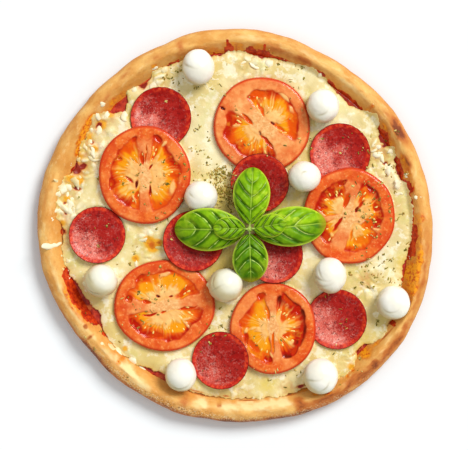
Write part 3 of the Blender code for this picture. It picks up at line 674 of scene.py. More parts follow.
# %% Cheese outline
# direction in degrees, how far inside the outline the cheese ends there, in millimetres
CHEESE_ENDS = (
    (-180, 19), (-178, 20), (-175, 19), (-172, 17), (-168, 16), (-164, 18), (-160, 20), (-156, 21),
    (-151, 22), (-147, 24), (-144, 20), (-140, 17), (-136, 16), (-132, 16), (-128, 17), (-124, 18),
    (-120, 21), (-116, 23), (-110, 19), (-104, 18), (-97, 18), (-91, 17), (-86, 18), (-80, 17),
    (-75, 17), (-70, 17.5), (-66, 18), (-60, 14), (-54, 13), (-50, 14), (-48, 17), (-46, 21), (-43, 21),
    (-40, 16), (-36, 14), (-32, 15), (-28, 17), (-22, 17), (-18, 19), (-14, 21), (-9, 18), (-4, 16),
    (0, 15), (5, 14), (10, 14), (14, 15), (16, 18), (18, 20), (22, 18), (24, 15), (26, 14), (28, 20),
    (31, 21.5), (34, 18), (36, 14), (38, 12), (41, 15), (43, 19), (47, 21.5), (51, 20), (55, 18),
    (60, 15), (64, 13), (68, 15), (72, 17), (77, 18), (81, 19.5), (85, 19), (88, 16), (92, 17), (95, 20),
    (99, 20), (105, 17), (110, 17), (114, 16), (118, 15), (121, 19), (124, 20), (126, 16), (129, 17),
    (131, 23), (134, 26), (137, 22), (139, 15), (142, 11.5), (146, 14), (149, 16), (152, 15), (155, 17),
    (158, 20), (161, 19), (165, 14), (168, 12), (172, 13), (177, 14), (180, 19),
)


def cheese_edge(direction):
    """How far out the cheese reaches in a direction, with fine fingers."""
    degrees = math.degrees(direction)
    for (start, first), (end, last) in zip(CHEESE_ENDS, CHEESE_ENDS[1:]):
        if degrees <= end:
            break
    inset = first + (last - first) * smooth(start, end, degrees)
    ragged = waves(towards(direction), (1.0, 17), (1.1, 41), (0.9, 90))
    return outline(direction) - (inset - ragged) / 1000


reaches = [round(1000 * cheese_edge(math.radians(turn)), 1) for turn in range(-180, 180)]
print("cheese reaches from", min(reaches), "to", max(reaches), "mm")

# %% [markdown]
# Where the real sheet differs from place to place, a short list says so: how lumpy, how
# yellow with oil or how browned it is round a point. Everywhere else clouds of noise
# decide, as the oven did.

# %% Cheese marks
# middle (x, y) and half width in millimetres, strength
LUMPY = (
    (-131, 10, 12, 1), (-126, 27, 10, 1), (-119, 42, 10, 1), (-112, 60, 10, 0.9), (-102, 78, 11, 0.8),
    (-90, 89, 10, 0.6), (-104, 50, 14, 0.4), (-129, -12, 10, 0.7), (-66, -14, 14, 0.7), (109, 56, 13, 1),
    (120, 30, 10, 0.6), (100, -40, 12, 0.8), (-114, -66, 10, 0.8), (10, 120, 14, 0.6), (-88, -98, 12, 0.8),
    (88, -100, 12, 0.6), (-58, 113, 14, 0.7), (40, -124, 10, 0.8), (6, -128, 10, 0.7),
)
OILY = (
    (-62, -15, 9, 1), (-75, -25, 4.5, 0.9), (-78, 84, 5, 0.8), (28, 10, 12, 0.9), (-6, 20, 13, 1.2),
    (-1, -27, 14, 1.2), (46, 22, 10, 0.8), (-18, -34, 8, 0.5), (46, -34, 10, 0.5), (100, -86, 10, 0.8),
    (60, 55, 8, 0.6), (-118, 60, 6, 0.7), (112, 45, 8, 0.5), (92, -60, 6, 0.4), (24, -121, 9, 0.8),
    (-100, -15, 6, 0.5), (126, -28, 7, 0.9), (96, -100, 8, 0.9), (-30, -118, 8, 0.6), (-128, 18, 5, 0.6),
    (124, 8, 5, 0.5), (2, -122, 12, 0.4), (-60, -108, 12, 0.4), (-95, -80, 10, 0.3),
)
BROWNED = (
    (-62, -15.5, 4.6, 0.85), (-75.2, -24.9, 2.8, 0.8), (-94, 84, 3, 0.6), (-66, -11, 4, 0.5),
    (-118, 34, 4, 0.6), (-106, 58, 3.4, 0.5), (-101, 76, 4, 0.7), (-121, 46, 3, 0.6), (108, -98, 3, 0.6),
    (88, -107, 3, 0.7), (116, 62, 3, 0.5), (-83, -93, 2.4, 0.6), (-118, 52, 4, 0.5), (-127, 20, 3.4, 0.6),
    (-110, 67, 3.6, 0.5), (-125, 36, 3.6, 0.5), (-131, 2, 3.6, 0.5), (-57, -13, 2.6, 0.6),
)
PALE = (
    (-18, 75, 22, 0.6), (-12, 50, 12, 0.6), (110, -20, 14, 0.6), (-92, 52, 14, 0.7), (-60, -26, 12, 0.5),
    (64, 112, 12, 0.4), (80, 82, 14, 0.6), (120, 35, 10, 0.7), (60, -20, 12, 0.4), (-114, 10, 12, 0.7),
    (112, 0, 12, 0.5),
)
# holes through to the sauce, listed like the toasted spots of the crust
HOLES = (
    (166.8, 0.8, 26, 2.6, 1), (160.3, 1.9, 21.2, 3.8, 1.2), (158.5, 0.9, 25, 2.4, 0.9),
    (143.8, 1.2, 19, 2, 1), (150, 0.8, 22.5, 1.4, 0.7), (123, 1.8, 20.5, 2, 1), (22.5, 0.7, 25.5, 2, 0.9),
    (-68, 1.6, 20.5, 1.4, 0.9), (111, 3, 16.2, 0.8, 0.9), (-32, 0.9, 14.5, 1.6, 0.7),
    (-103, 2.4, 19.2, 0.8, 0.7), (-93, 1, 19.2, 1, 0.7), (-45, 2.6, 21.5, 0.8, 0.8),
    (172.5, 0.6, 19.5, 1.4, 0.8), (176, 0.5, 21.5, 1.2, 0.7), (137, 1, 20.5, 1.6, 0.8),
    (28, 0.8, 21, 2, 0.8), (-178, 1, 20.5, 1.6, 0.8),
)
MARK_REACH = 2.2              # beyond this many half widths a round mark is nothing
CHUNK_PITCH = 140
ROOF_PROBES = 6               # looks upwards round a point, and how far from it
ROOF_REACH = 0.0011


def chunk_at(point, warp):
    """How high a place stands in its own chunk of half melted cheese, 0 to 1."""
    apart, centres = noise.voronoi(point * CHUNK_PITCH + warp)
    own = 0.55 + 1.2 * noise.noise(centres[0] * 1.37)
    return smooth(0.0, 0.55, apart[1] - apart[0]) * min(1, max(0.15, own))


def amount_at(point, marks):
    """How much of a list of round marks a place has."""
    total = 0
    for x, y, reach, strength in marks:
        apart = math.hypot(1000 * point.x - x, 1000 * point.y - y) / reach
        if apart < MARK_REACH:
            total += strength * math.exp(-apart ** 2)
    return min(1, total)


def roof_over(point):
    """The lowest underside over a place and close round it, or a height above everything."""
    around = [towards(math.tau * step / ROOF_PROBES) * ROOF_REACH for step in range(ROOF_PROBES)]
    hits = [over_cheese.ray_cast(point + aside, UP)[0] for aside in [Vector()] + around]
    return min([hit.z for hit in hits if hit] + [ABOVE])


print(len(LUMPY + OILY + BROWNED + PALE), "round marks and", len(HOLES), "holes in the cheese")

# %% [markdown]
# The sheet lies on the dough, rises in lumps and ends just under each topping, as cheese
# does that melted round a slice. A cloth simulation could find that shape, but slowly and
# with no say in where it is lumpy. So each point looks up and down and takes its height from
# what it meets.

# %% Cheese mesh
CHEESE_RINGS = 160
CHEESE_BOTTOM = 0.0072
CHEESE_EDGE = 0.0083
CHEESE_TOP = 0.0099
CHEESE_FILL = 0.0020          # how much higher it stands under a topping, up to its underside
CHEESE_SLANT = 0.0030
TOUCH = 0.00008               # what the melted cheese leaves free under a topping
EDGE_FADE = 0.0075            # over this width it thins down to its edge
SWELL_SIZE = 0.0007
SWELL_PITCH = 62
CHUNK_SIZE = 0.0026
HOLE_DEPTH = 0.0014
MEET_REACH = 0.0009           # where it rounds off against the bank, and by how much
MEET_FILL = 0.00022

dough_top = tree_of([crust])
bm = bmesh.new()
bmesh.ops.create_circle(bm, cap_ends=True, cap_tris=True, segments=6, radius=1)
bmesh.ops.subdivide_edges(bm, edges=bm.edges[:], cuts=CHEESE_RINGS - 1, use_grid_fill=True)
layers = layers_of(bm, "curd oil brown pale thin hole seep")
for vertex in bm.verts:
    direction = direction_of(vertex.co)
    from_side = (direction + math.pi / 6) % (math.pi / 3) - math.pi / 6
    share = vertex.co.length * math.cos(from_side) / math.cos(math.pi / 6)
    edge = cheese_edge(direction)
    from_edge = max(0, edge * (1 - share))
    point = towards(direction) * edge * share
    lumpy = 0.06 + 0.94 * amount_at(point, LUMPY)
    warp = Vector((noise.noise(point * 70), noise.noise(point * 70 + Vector((5, 5, 0))), 0))
    rough = chunk_at(point, warp * 1.02)
    hole = mark_at(direction, outline(direction) - edge * share, HOLES)
    height = CHEESE_TOP + SWELL_SIZE * waves(point, (1, SWELL_PITCH), (0.5, SWELL_PITCH * 2.3))
    height += lumpy * (CHUNK_SIZE * (rough - 0.32) + waves(point, (0.00050, 260), (0.00030, 560)))
    height -= HOLE_DEPTH * hole
    height = CHEESE_EDGE + (height - CHEESE_EDGE) * math.sin(math.pi / 2 * min(1, from_edge / EDGE_FADE))
    if over_cheese.ray_cast(point, UP)[0]:
        height += CHEESE_FILL
    near = over_cheese.find_nearest(Vector((*point.xy, height)))[3]
    keep(vertex, layers, curd=rough * lumpy, seep=(1 - rough) ** 2 * lumpy, hole=hole,
         oil=min(1, amount_at(point, OILY) + 0.45 * smooth(0.0040, 0.0004, near)),
         brown=amount_at(point, BROWNED), pale=amount_at(point, PALE), thin=smooth(0.0040, 0.0, from_edge))
    under = dough_top.ray_cast(Vector((*point.xy, ABOVE)), DOWN)[0].z
    under += (0.0008 + 0.0007 * noise.noise(point * 150)) * min(1, from_edge / 0.0022) ** 0.6 - 0.0001
    under += lumpy * 0.0005 * (rough - 0.2) * min(1, from_edge / 0.002)
    meet = max(0, 1 - abs(height - under) / MEET_REACH) ** 2 * MEET_FILL
    vertex.co = (*point.xy, min(max(height, under) + meet, roof_over(point) - TOUCH))
rim = [edge for edge in bm.edges if edge.is_boundary]
skirt = bmesh.ops.extrude_edge_only(bm, edges=rim)["geom"]
for vertex in (item for item in skirt if isinstance(item, bmesh.types.BMVert)):
    vertex.co.xy *= 1 - CHEESE_SLANT / vertex.co.xy.length
    vertex.co.z = CHEESE_BOTTOM
bmesh.ops.contextual_create(bm, geom=[edge for edge in bm.edges if edge.is_boundary])
print("cheese", len(bm.verts), "points")

# %% [markdown]
# Melted cheese is a warm ivory. Its shreds stay whiter, fat turns it yellow and a little
# clear beside the slices, and its thinnest edge browns first. It is moist, so it shines
# softly, more where it is oily.

# %% Cheese finish
melted_cheese, shader, place = new_finish("melted_cheese", Specular_IOR_Level=0.4)
fine = place.clouds(260, 3.0, 0.6)
oil = place.painted("oil") * (0.5 + 0.9 * place.clouds(140, 3.0, 0.6))
brown = place.painted("brown") * (0.2 + 1.5 * place.clouds(230, 4.0, 0.65))
hole = place.painted("hole") * (0.3 + 1.4 * place.clouds(300, 3.0, 0.6))
ivory = place.clouds(45, 2.0, 0.55).blend(0.38, 0.62, (228, 204, 128), (242, 224, 162)).coats(
    (fine.step(0.50, 0.72) * 0.20, (228, 200, 112)),
    (place.clouds(85, 4.0, 0.65).step(0.50, 0.60) * 0.75, (254, 246, 210)),
    (place.clouds(70, 3.0, 0.6).step(0.52, 0.64) * 0.60, (220, 208, 118)),
    (place.clouds(170, 4.0, 0.65).step(0.54, 0.64) * 0.45, (255, 250, 222)),
    # Yellower and browner in the hollows between the lumps.
    (place.painted("seep").step(0.20, 0.90) * 0.75, fine.blend(0.4, 0.6, (216, 180, 84), (208, 140, 66))),
    (place.painted("curd").step(0.15, 0.65) * 0.80, (255, 246, 214)),
    (place.painted("pale") * 0.75, (253, 245, 204)),
    (oil.step(0.12, 0.95) * 0.80, (232, 204, 96)),
    (place.painted("thin").step(0.2, 1.0) * 0.5, (232, 196, 106)),
    (brown.step(0.10, 0.45), (240, 172, 40)),
    (brown.step(0.50, 0.90), (206, 104, 22)),
    (hole.step(0.12, 0.40) * 0.8, (222, 138, 62)),
    (hole.step(0.36, 0.62), (150, 34, 10)))
feed(shader, Base_Color=ivory, Roughness=0.42 - 0.2 * oil.step(0.2, 0.8),
     Normal=bumps((place.clouds(120, 3.0, 0.6), 0.30, 0.0020), (fine, 0.20, 0.0005),
                  (place.clouds(900, 2.0, 0.6), 0.10, 0.0002)))
cheese = add_piece(bm, "cheese_melted", melted_cheese, "cheese", "cheese")

# %% [markdown]
# ## Seats
#
# Slices don't lie level: each one leans on what is under it. The plain solid of a slice
# already leans the right way, so its lowest middle point and the direction its underside
# faces are read back, and the finer slice is made flat and then moved to that seat.

# %% Seats
def seat_of(name, middle, flat_reach):
    """Where a plain slice rests: the move that takes a slice made flat to its place."""
    facing = Vector()
    resting = Vector()
    total = 0
    for face in nodes[name].data.polygons:
        if face.normal.z < -0.9 and math.dist(face.center.xy, middle) < flat_reach:
            facing += face.normal * face.area
            resting += face.center * face.area
            total += face.area
    facing.normalize()
    resting /= total
    height = resting.z - facing.xy.dot(Vector(middle) - resting.xy) / facing.z
    print(name, "leans", round(math.degrees(UP.angle(-facing)), 1), "degrees")
    return standing((*middle, height), -facing)


# %% [markdown]
# ## The tomato slices
#
# A slice across a tomato shows its skin, the outer flesh, a few flesh walls that meet in a
# pale core, and between them chambers of jelly round a pale seed bed. The jelly lies lower
# than the flesh, and its wet edge catches the light. Each slice gets its own walls as a
# short list; all the rest follows from them.

# %% Tomato slices: what they are
# place and half widths in millimetres, how pale its walls are, walls (direction, half width),
# for each chamber after a wall: how far the seed bed reaches, how red the jelly is
TOMATOES = (
    ((-68.3, 38.2), (34.8, 37.2), 0.45, ((91, 0.15), (271, 0.12)), ((0.40, 0.35), (0.42, 0.30))),
    ((20.2, 75.6), (36.5, 36.6), 1.0, ((138, 0.18), (315, 0.20)), ((0.36, 0.40), (0.38, 0.30))),
    ((86.0, 7.4), (34.8, 36.4), 0.5, ((84, 0.12), (186, 0.06), (248, 0.14), (335, 0.05)),
     ((0.42, 0.60), (0.44, 0.70), (0.42, 0.30), (0.44, 0.65))),
    ((-53.4, -60.4), (38.2, 34.5), 0.55, ((8, 0.13), (182, 0.15)), ((0.42, 0.15), (0.42, 0.45))),
    ((28.7, -77.5), (32.6, 34.7), 0.5, ((95, 0.12), (279, 0.12)), ((0.32, 0.05), (0.34, 0.90))),
)

# for each slice its slits, pockets and pale glints: place, half length and half width in hundredths
# of its half width, direction, redness (below 0 pale, 0 yellow, 1 red, more is brown)
POCKETS = (
    ((-7, 34, 12, 5, 100, 0.75), (-24, 71, 7, 5, 45, 0.8), (28, 71, 10, 5, -20, 0.85),
     (21, 45, 14, 3, 75, 0.6), (14.3, 16.4, 7, 2.2, 50, 1.1), (-34, -9, 9, 3, -20, 0.8),
     (-18, -39, 12, 6, 75, 0.6), (-20, -15.6, 8, 2.8, 70, 1.4), (13.3, -33, 13, 2.5, 100, 1.2),
     (61, -27, 12, 5, 75, -1), (-57, 31, 6, 4, 0, 1), (-25, -50, 9, 2.2, -70, -1), (43, 62.5, 7, 2.2, 30, -1),
     (2, 42, 18, 1.5, 88, 0.5), (-72, -17, 5, 14, 10, 0.8)),
    ((-4, 34.7, 17, 4.5, 118, 0.5), (-30, 13.7, 19, 4.5, 142, 0.65), (34, -1.6, 19, 3.5, -31, 0.5),
     (19.4, 5, 4.5, 2.8, -20, 1.35), (11.3, -37, 22, 3.5, -55, 0.75), (-1.3, -18, 3.5, 3, -60, 1.4),
     (-8, 66, 20, 8, 0, 0.55), (-70, 5, 20, 6, 95, 0.85), (-81.5, 34.7, 5, 2.5, -10, 1.6),
     (47, 55, 12, 3, -50, -1), (60, 29, 9, 3, -50, -1), (-11, -11, 13, 4, -40, -1), (18, 13, 11, 4, -40, -1),
     (62, 0, 8, 25, 0, 0.5), (-55, 0, 7, 2.5, 0, -1)),
    ((29, 40, 20, 6, 70, 0.5), (-31, 45, 20, 11, 20, 0.95), (-9, 69, 9, 4, 20, 1.1), (-4, 32, 16, 6, 80, 0.7),
     (16, 12, 7, 2.2, 45, 1.3), (28, 23, 12, 3.5, 50, 0.8), (-24, -18, 17, 3.5, 55, 0.9),
     (-46, -48, 12, 9, -60, 0.75), (-35, -38.5, 4, 3.5, 0, -1), (4, -38.5, 12, 3.5, 80, 0.35),
     (25, -50, 18, 9, 0, 0.35), (41, -21, 12, 10, 0, 0.5), (63, -18, 14, 6, 60, 0.9),
     (46, 56, 12, 3, -35, 1.1), (-58, 20, 8, 5, 0, 0.9), (-60, 7, 8, 2.2, -30, -1),
     (60, -27.5, 8, 2.2, 10, -1), (60, 20, 10, 10, 0, 0.8)),
    ((40, 30, 24, 6, 30, 0.7), (46, -5.4, 18, 2.8, 8, 0.75), (-68, 13, 7, 7, 0, 0.85),
     (-34, 10, 8, 5, 0, 0.75), (-29, -20, 14, 2.4, 20, 0.9), (-55, -42, 16, 7, -45, 0.95),
     (-18, -66, 18, 5, 0, 0.75), (-35, 42, 14, 11, 0, 0.1), (14, 54, 18, 9, 0, 0.1), (0, 66, 12, 4, 0, -1),
     (-12, 23.5, 4, 2.5, 0, 1.4),
     (10, 19, 4, 2, 0, 1.2), (0, -15.6, 6, 2.4, 30, 0.7), (28, -48, 16, 11, 0, 0.1),
     (46, -41, 10, 2.2, -50, -1), (45, -29, 8, 2.6, 10, -1), (-45, 62, 10, 3, 35, 0.8)),
    ((-12, 34, 18, 3.8, 107, 0.4), (22.6, 31, 20, 5.5, 80, 0.6), (1, -30, 25, 3.8, 88, 0.4),
     (33, -17, 10, 6, 30, 0.65), (-29, 70, 9, 7, 30, 0.8), (35, 60, 22, 7, -45, 0.75),
     (58, 37.5, 9, 5, 80, 0.9), (64.5, -16, 27, 4, 80, 0.85), (51, -48, 13, 6, 60, 0.8),
     (-63, -23, 16, 5, 100, 0.85), (-11, -66, 9, 6, 0, 0.95), (-43, -41, 16, 6, -40, 0.6),
     (43, -31, 6, 3.5, 0, -1), (-2.5, -58, 7, 2.2, -60, -1), (-46, -1.6, 7, 1.8, 0, -1),
     (-63, -3, 7, 3, 60, -1)),
)
OUTER_WALL = 0.765            # where the outer flesh ends, as a share of the half width
MELT = 26                     # how round the corners of the chambers are; less is rounder


def ring_noise(direction, pitch, seed):
    """Noise that closes on itself once round."""
    return grain(towards(direction), pitch, seed)


def pulp_at(across, along, walls, beds, pockets, seed):
    """What a slice is at a place: chamber depth, seed bed, redness, threads, core, slit."""
    spot = Vector((across, along, seed))
    across += waves(spot, (0.060, 2.9), (0.026, 7.7))
    along += waves(spot, (0.060, 3.3), (0.026, 8.9))
    reach = math.hypot(across, along)
    direction = math.atan2(along, across)
    rim = OUTER_WALL + 0.045 * ring_noise(direction, 2.2, seed) + 0.020 * ring_noise(direction, 8, seed)
    gaps = [rim - reach]
    for turn, half_width in walls:
        turn = math.radians(turn)
        forward = across * math.cos(turn) + along * math.sin(turn)
        sideways = abs(along * math.cos(turn) - across * math.sin(turn))
        gaps.append(sideways - half_width * (0.55 + 0.75 * reach) if forward > 0 else reach - half_width)
    inside = -math.log(sum(math.exp(-MELT * gap) for gap in gaps)) / MELT
    deep = smooth(-0.030, 0.065, inside)

    for start, span, bed_reach, redness in chambers_of(walls, beds):
        if (direction - start) % math.tau < span:
            break
    part = abs((direction - start) % math.tau - span / 2) / (span / 2)
    fingers = 0.13 * ring_noise(direction, 6, seed) + 0.12 * ring_noise(direction, 13, seed)
    end = bed_reach * (1.12 - 0.30 * part ** 2) + fingers
    slit_side = 0.70 + 0.22 * ring_noise(direction, 1.4, seed + 3)
    bed = smooth(end + 0.035, end - 0.045, reach)
    bed *= smooth(slit_side + 0.08, slit_side - 0.04, part + 0.2 * noise.noise(spot * 5))
    core = smooth(0.50, 0.12, reach + 0.08 * noise.noise(spot * 4))
    red = smooth(end, rim, reach) * (0.70 + 0.5 * redness) + 0.45 * redness - 0.20
    slit = 0.5 * smooth(slit_side - 0.04, slit_side + 0.12, part) * smooth(0.80, 0.50, reach) * (1 - bed)
    red = max(red, slit * (0.55 + 0.50 * smooth(0.45, 0.22, reach)))
    red += 0.50 * noise.noise(spot * 4.3) * (1 - slit)
    patchy = 0.5 + 1.2 * ring_noise(direction, 3, seed + 2)
    threads = max(0, ring_noise(direction, 17, seed + 7)) * 2.6 * patchy
    threads *= smooth(rim + 0.02, end, reach) * deep * (1 - slit)
    bed *= deep
    slit *= deep
    for x, y, half_length, half_width, turn, redness in pockets:
        turn = math.radians(turn)
        x, y = 100 * across - x, 100 * along - y
        forward = (x * math.cos(turn) + y * math.sin(turn)) / half_length
        sideways = (y * math.cos(turn) - x * math.sin(turn)) / half_width
        share = smooth(1.35, 0.65, math.hypot(forward, sideways))
        # Below 0: pale glints, which are painted highlights, and a few pale seed beds, both in the seed bed's
        # cream.
        if redness < 0:
            bed = max(bed, share)
            core = max(core, 0.6 * share)
        else:
            deep = max(deep, share)
            bed *= 1 - share
            red += (redness - red) * share
            slit = max(slit, share * min(1, redness))
            threads *= 1 - share
    return deep, bed, min(1.6, max(0, red)), clamp(threads), core, slit


def chambers_of(walls, beds):
    """The chambers between the walls: where each starts, how far it spans, and its bed."""
    turns = [math.radians(turn) for turn, half_width in walls]
    return [(start, (following - start) % math.tau, *bed)
            for start, following, bed in zip(turns, turns[1:] + turns[:1], beds)]


print(len(TOMATOES), "slices with", sum(len(pockets) for pockets in POCKETS), "slits and pockets")

# %% [markdown]
# Wet flesh is orange-red with paler fibres, jelly runs from yellow to deep red, and the seed
# beds are cream. They could be separate materials on separate faces, but the borders between
# them are soft. So one finish mixes them by the numbers that the mesh will carry.

# %% Tomato finish
tomato_flesh, shader, place = new_finish(
    "tomato_flesh", Specular_IOR_Level=0.18, Coat_Weight=0.25, Coat_Roughness=0.08)
deep, bed, red, threads, core, skin, wall = (
    place.painted(name) for name in ("deep", "bed", "red", "threads", "core", "skin", "wall"))
large = place.clouds(48, 3.0, 0.55)
mottle = place.clouds(150, 3.0, 0.6)
speckle = place.clouds(520, 3.0, 0.65)
flesh = mottle.blend(0.35, 0.68, (226, 82, 20), (242, 120, 42)).coats(
    (large.step(0.50, 0.66) * 0.55, (252, 156, 82)),
    (large.step(0.44, 0.32) * 0.50, (214, 50, 10)),
    (speckle.step(0.54, 0.68) * 0.55, (254, 176, 104)),
    (speckle.step(0.44, 0.30) * 0.30, (190, 50, 10)),
    (wall * 0.88, mottle.blend(0.35, 0.68, (242, 146, 76), (255, 190, 118))),
    (core.step(0.12, 0.72), speckle.blend(0.35, 0.68, (238, 162, 92), (253, 200, 132))))
jelly = red.blend(0.05, 0.55, (246, 156, 14), (232, 84, 4)).coats(
    (red.step(0.50, 0.95), (190, 24, 2)),
    (mottle.step(0.52, 0.70) * 0.35, (254, 178, 44)),
    (threads * 0.75, (253, 200, 106)),
    (red.step(0.95, 1.5), (92, 24, 6)))
seed_bed = mottle.blend(0.35, 0.65, (244, 168, 84), (255, 210, 132)).coats(
    (core.step(0.2, 0.8), (250, 190, 114)))
# Painted shade: a dark red line down the sunken edge of each chamber.
chamber_edge_shade = deep.step(0.10, 0.40) * deep.step(0.85, 0.50) * (1 - bed) * (1 - core)
colour = flesh.coats(
    (deep.step(0.15, 0.75), jelly),
    (chamber_edge_shade * 0.40, (196, 36, 4)),
    (bed * 0.95, seed_bed),
    (skin.step(0.10, 0.45) * 0.45, (230, 78, 26)),
    (skin.step(0.55, 0.95) * 0.70, (206, 48, 16)))
feed(shader, Base_Color=colour, Roughness=0.38 - 0.20 * deep + 0.12 * bed,
     Normal=bumps((mottle, 0.30, 0.0010), (speckle * (0.6 + 0.5 * deep), 0.40, 0.00045)))

# %% [markdown]
# Each slice is turned flat and round first, with a radius of 1, because its chambers are
# easy to describe there. Then it is stretched to its real size, which is never quite a
# circle, and moved to its seat.

# %% Tomato slices: mesh
TOMATO_THICKNESS = 0.0055
JELLY_DEPTH = 0.0013
TOMATO_FLAT = 0.93
TOMATO_RINGS = 60
TOMATO_STEPS = 240
TOMATO_EDGE = ((0.945, 0.975), (0.965, 0.93), (0.983, 0.84), (0.995, 0.68), (1, 0.5), (0.992, 0.25),
               (0.95, 0), (0, 0))
SEEDS_ROUND = 4.6             # seeds to each radian of a chamber, in each of two rows

seed_spots = []
tomato_pieces = []
for number, (middle, halves, paleness, walls, beds) in enumerate(TOMATOES, 1):
    middle, halves = metres(middle), metres(halves)
    bm = slice_of(TOMATO_FLAT, TOMATO_RINGS, TOMATO_EDGE, TOMATO_THICKNESS, TOMATO_STEPS)
    layers = layers_of(bm, "deep bed red threads core skin wall")
    seat = seat_of(f"tomato_slice_{number}", middle, 1)
    for vertex in bm.verts:
        share = vertex.co.xy.length
        direction = direction_of(vertex.co)
        if vertex.co.z > TOMATO_THICKNESS * 0.9:
            deep, bed, red, threads, core, slit = pulp_at(
                vertex.co.x, vertex.co.y, walls, beds, POCKETS[number - 1], number * 11.3)
            in_wall = smooth(OUTER_WALL + 0.03, OUTER_WALL - 0.12, share) * (1 - deep)
            ring_pale = 0.9 * max(0, paleness - 0.5) * (1 - in_wall) * (1 - deep)
            keep(vertex, layers, deep=deep, bed=bed, red=red, threads=threads, core=core,
                 wall=paleness * in_wall + ring_pale)
            coarse = grain(vertex.co, 12, number)
            sunk = JELLY_DEPTH * (0.45 + 0.30 * red + 0.4 * slit) * (1 - 0.85 * bed)
            vertex.co.z += (min(0, 0.00020 * coarse + 0.00012 * grain(vertex.co, 30, number) - 0.0001)
                            - deep * sunk + bed * min(0, 0.00018 * coarse - 0.00012))
        keep(vertex, layers, skin=smooth(0.925, 0.975, share) if vertex.co.z > TINY else 1)
        lobe = 1 + 0.008 * math.cos((len(walls) + 3) * direction + middle[0] * 100)
        vertex.co.x *= halves[0] * lobe
        vertex.co.y *= halves[1] * lobe
    for start, span, bed_reach, redness in chambers_of(walls, beds):
        count = max(3, round(span * SEEDS_ROUND))
        seed_spots += [(seat, halves, start + span * (step + 0.5) / count, bed_reach)
                       for step in range(count)]
    bmesh.ops.transform(bm, matrix=seat, verts=bm.verts)
    tomato_pieces.append(
        add_piece(bm, f"tomato_sliced_{number}", tomato_flesh, "tomato", f"tomato_slice_{number}"))

# %% [markdown]
# The seeds lie round the seed beds, pointing outwards, half sunk in the jelly. They are
# small drops, flat on one side, and all of them make one piece.

# %% Tomato seeds
SEED_SIZE = (0.0015, 0.00065, 0.00050)     # half length, half width, half height
SEED_HEIGHT = TOMATO_THICKNESS - JELLY_DEPTH + 0.00015
SEED_LIMIT = 0.66             # no seed lies further out, as a share of the half width

rng = random.Random(7)
bm = bmesh.new()
for seat, halves, direction, bed_reach in seed_spots:
    for row in range(2):
        turn = direction + rng.uniform(-0.13, 0.13)
        reach = bed_reach + rng.uniform(0.02, 0.10) + 0.11 * row
        if reach > SEED_LIMIT or rng.random() < 0.22 + 0.3 * row:
            continue
        made = bmesh.ops.create_uvsphere(bm, u_segments=8, v_segments=6, radius=1)["verts"]
        for vertex in made:
            vertex.co.yz *= 1 - 0.35 * vertex.co.x
            vertex.co *= rng.uniform(0.98, 1.02)
        size = rng.uniform(0.75, 1.15)
        spot = Vector((math.cos(turn) * reach * halves[0], math.sin(turn) * reach * halves[1], SEED_HEIGHT))
        grow = Matrix.Diagonal((*[size * side for side in SEED_SIZE], 1))
        swing = Matrix.Rotation(turn + math.pi + rng.uniform(-0.35, 0.35), 4, "Z")
        bmesh.ops.transform(bm, matrix=seat @ Matrix.Translation(spot) @ swing @ grow, verts=made)
seed_cream, shader, place = new_finish(
    "seed_cream", Roughness=0.25, Specular_IOR_Level=0.5, Base_Color=paint(254, 216, 120))
add_piece(bm, "tomato_seeds", seed_cream, "tomato")

# %% [markdown]
# ## The salami
#
# A slice of salami is minced meat and fat pressed in a casing: a thin dark edge, a brighter
# band where fat ran out, and a deep red middle full of fine pale specks. In the oven it
# curls up where nothing holds it down. The specks are cell patterns of three sizes.

# %% Salami finish
cured_meat, shader, place = new_finish(
    "cured_meat", Specular_IOR_Level=0.2, Coat_Weight=0.15, Coat_Roughness=0.12)
rind = place.painted("rind")
sheen = place.painted("sheen")
blotch = place.clouds(110, 3.0, 0.6)
mince = place.clouds(420, 3.0, 0.65)
web = place.cells(560, "F2") - place.cells(560)
specks = place.cells(640).step(0.34, 0.16) * place.clouds(260, 2.0).step(0.46, 0.60)
# Painted highlights: short pale curved strokes, most on the lower left.
curls = place.clouds(270, 2.0, 0.5)
glints = curls.step(0.44, 0.48) * curls.step(0.56, 0.52) * place.clouds(180, 2.0).step(0.50, 0.60)
lumps = place.clouds(330, 2.0, 0.6).blend(0.4, 0.65, (188, 14, 4), (236, 72, 30))
# Painted light and shade: the lower left of each cup is painted pinker, with more pale specks, and the upper
# right dark red.
meat = blotch.blend(0.38, 0.64, (166, 18, 12), (198, 50, 36)).coats(
    (sheen.step(0.25, 0.85) * (0.60 + 0.40 * mince.step(0.35, 0.65)), (232, 118, 102)),
    (mince.step(0.50, 0.68) * (0.25 + 0.35 * sheen), (228, 104, 84)),
    (sheen.step(0.42, 0.05) * 0.70, (168, 10, 2)),
    (mince.step(0.48, 0.34) * 0.72, (112, 8, 4)),
    (web.step(0.12, 0.03) * 0.55 * sheen, (252, 180, 160)),
    (specks * (0.12 + 0.85 * sheen), (255, 204, 188)),
    (glints * (0.08 + 0.45 * sheen), (252, 196, 182)),
    ((rind + 0.10 * blotch).step(0.86, 0.96) * 0.85, lumps),
    (rind.step(0.965, 1.0) * 0.9, (96, 20, 8)))
feed(shader, Base_Color=meat, Roughness=0.34 + 0.15 * blotch,
     Normal=bumps((mince, 0.7, 0.0006), (place.clouds(1000, 2.0, 0.6), 0.5, 0.00025)))

# %% [markdown]
# A slice of 2 mm shrinks in the heat and cups. It is turned flat like the tomato, lifted at
# its free side by a curve that starts halfway out, and roughened by noise of three sizes.

# %% Salami mesh
SALAMI_THICKNESS = 0.0020
SALAMI_CURL = 0.0034
SALAMI_FLAT = 0.97
SALAMI_RINGS = 40
SALAMI_STEPS = 190
SALAMI_EDGE = ((0.985, 0.93), (1, 0.80), (1.004, 0.5), (1, 0.12), (0.88, 0), (0.6, 0), (0, 0))

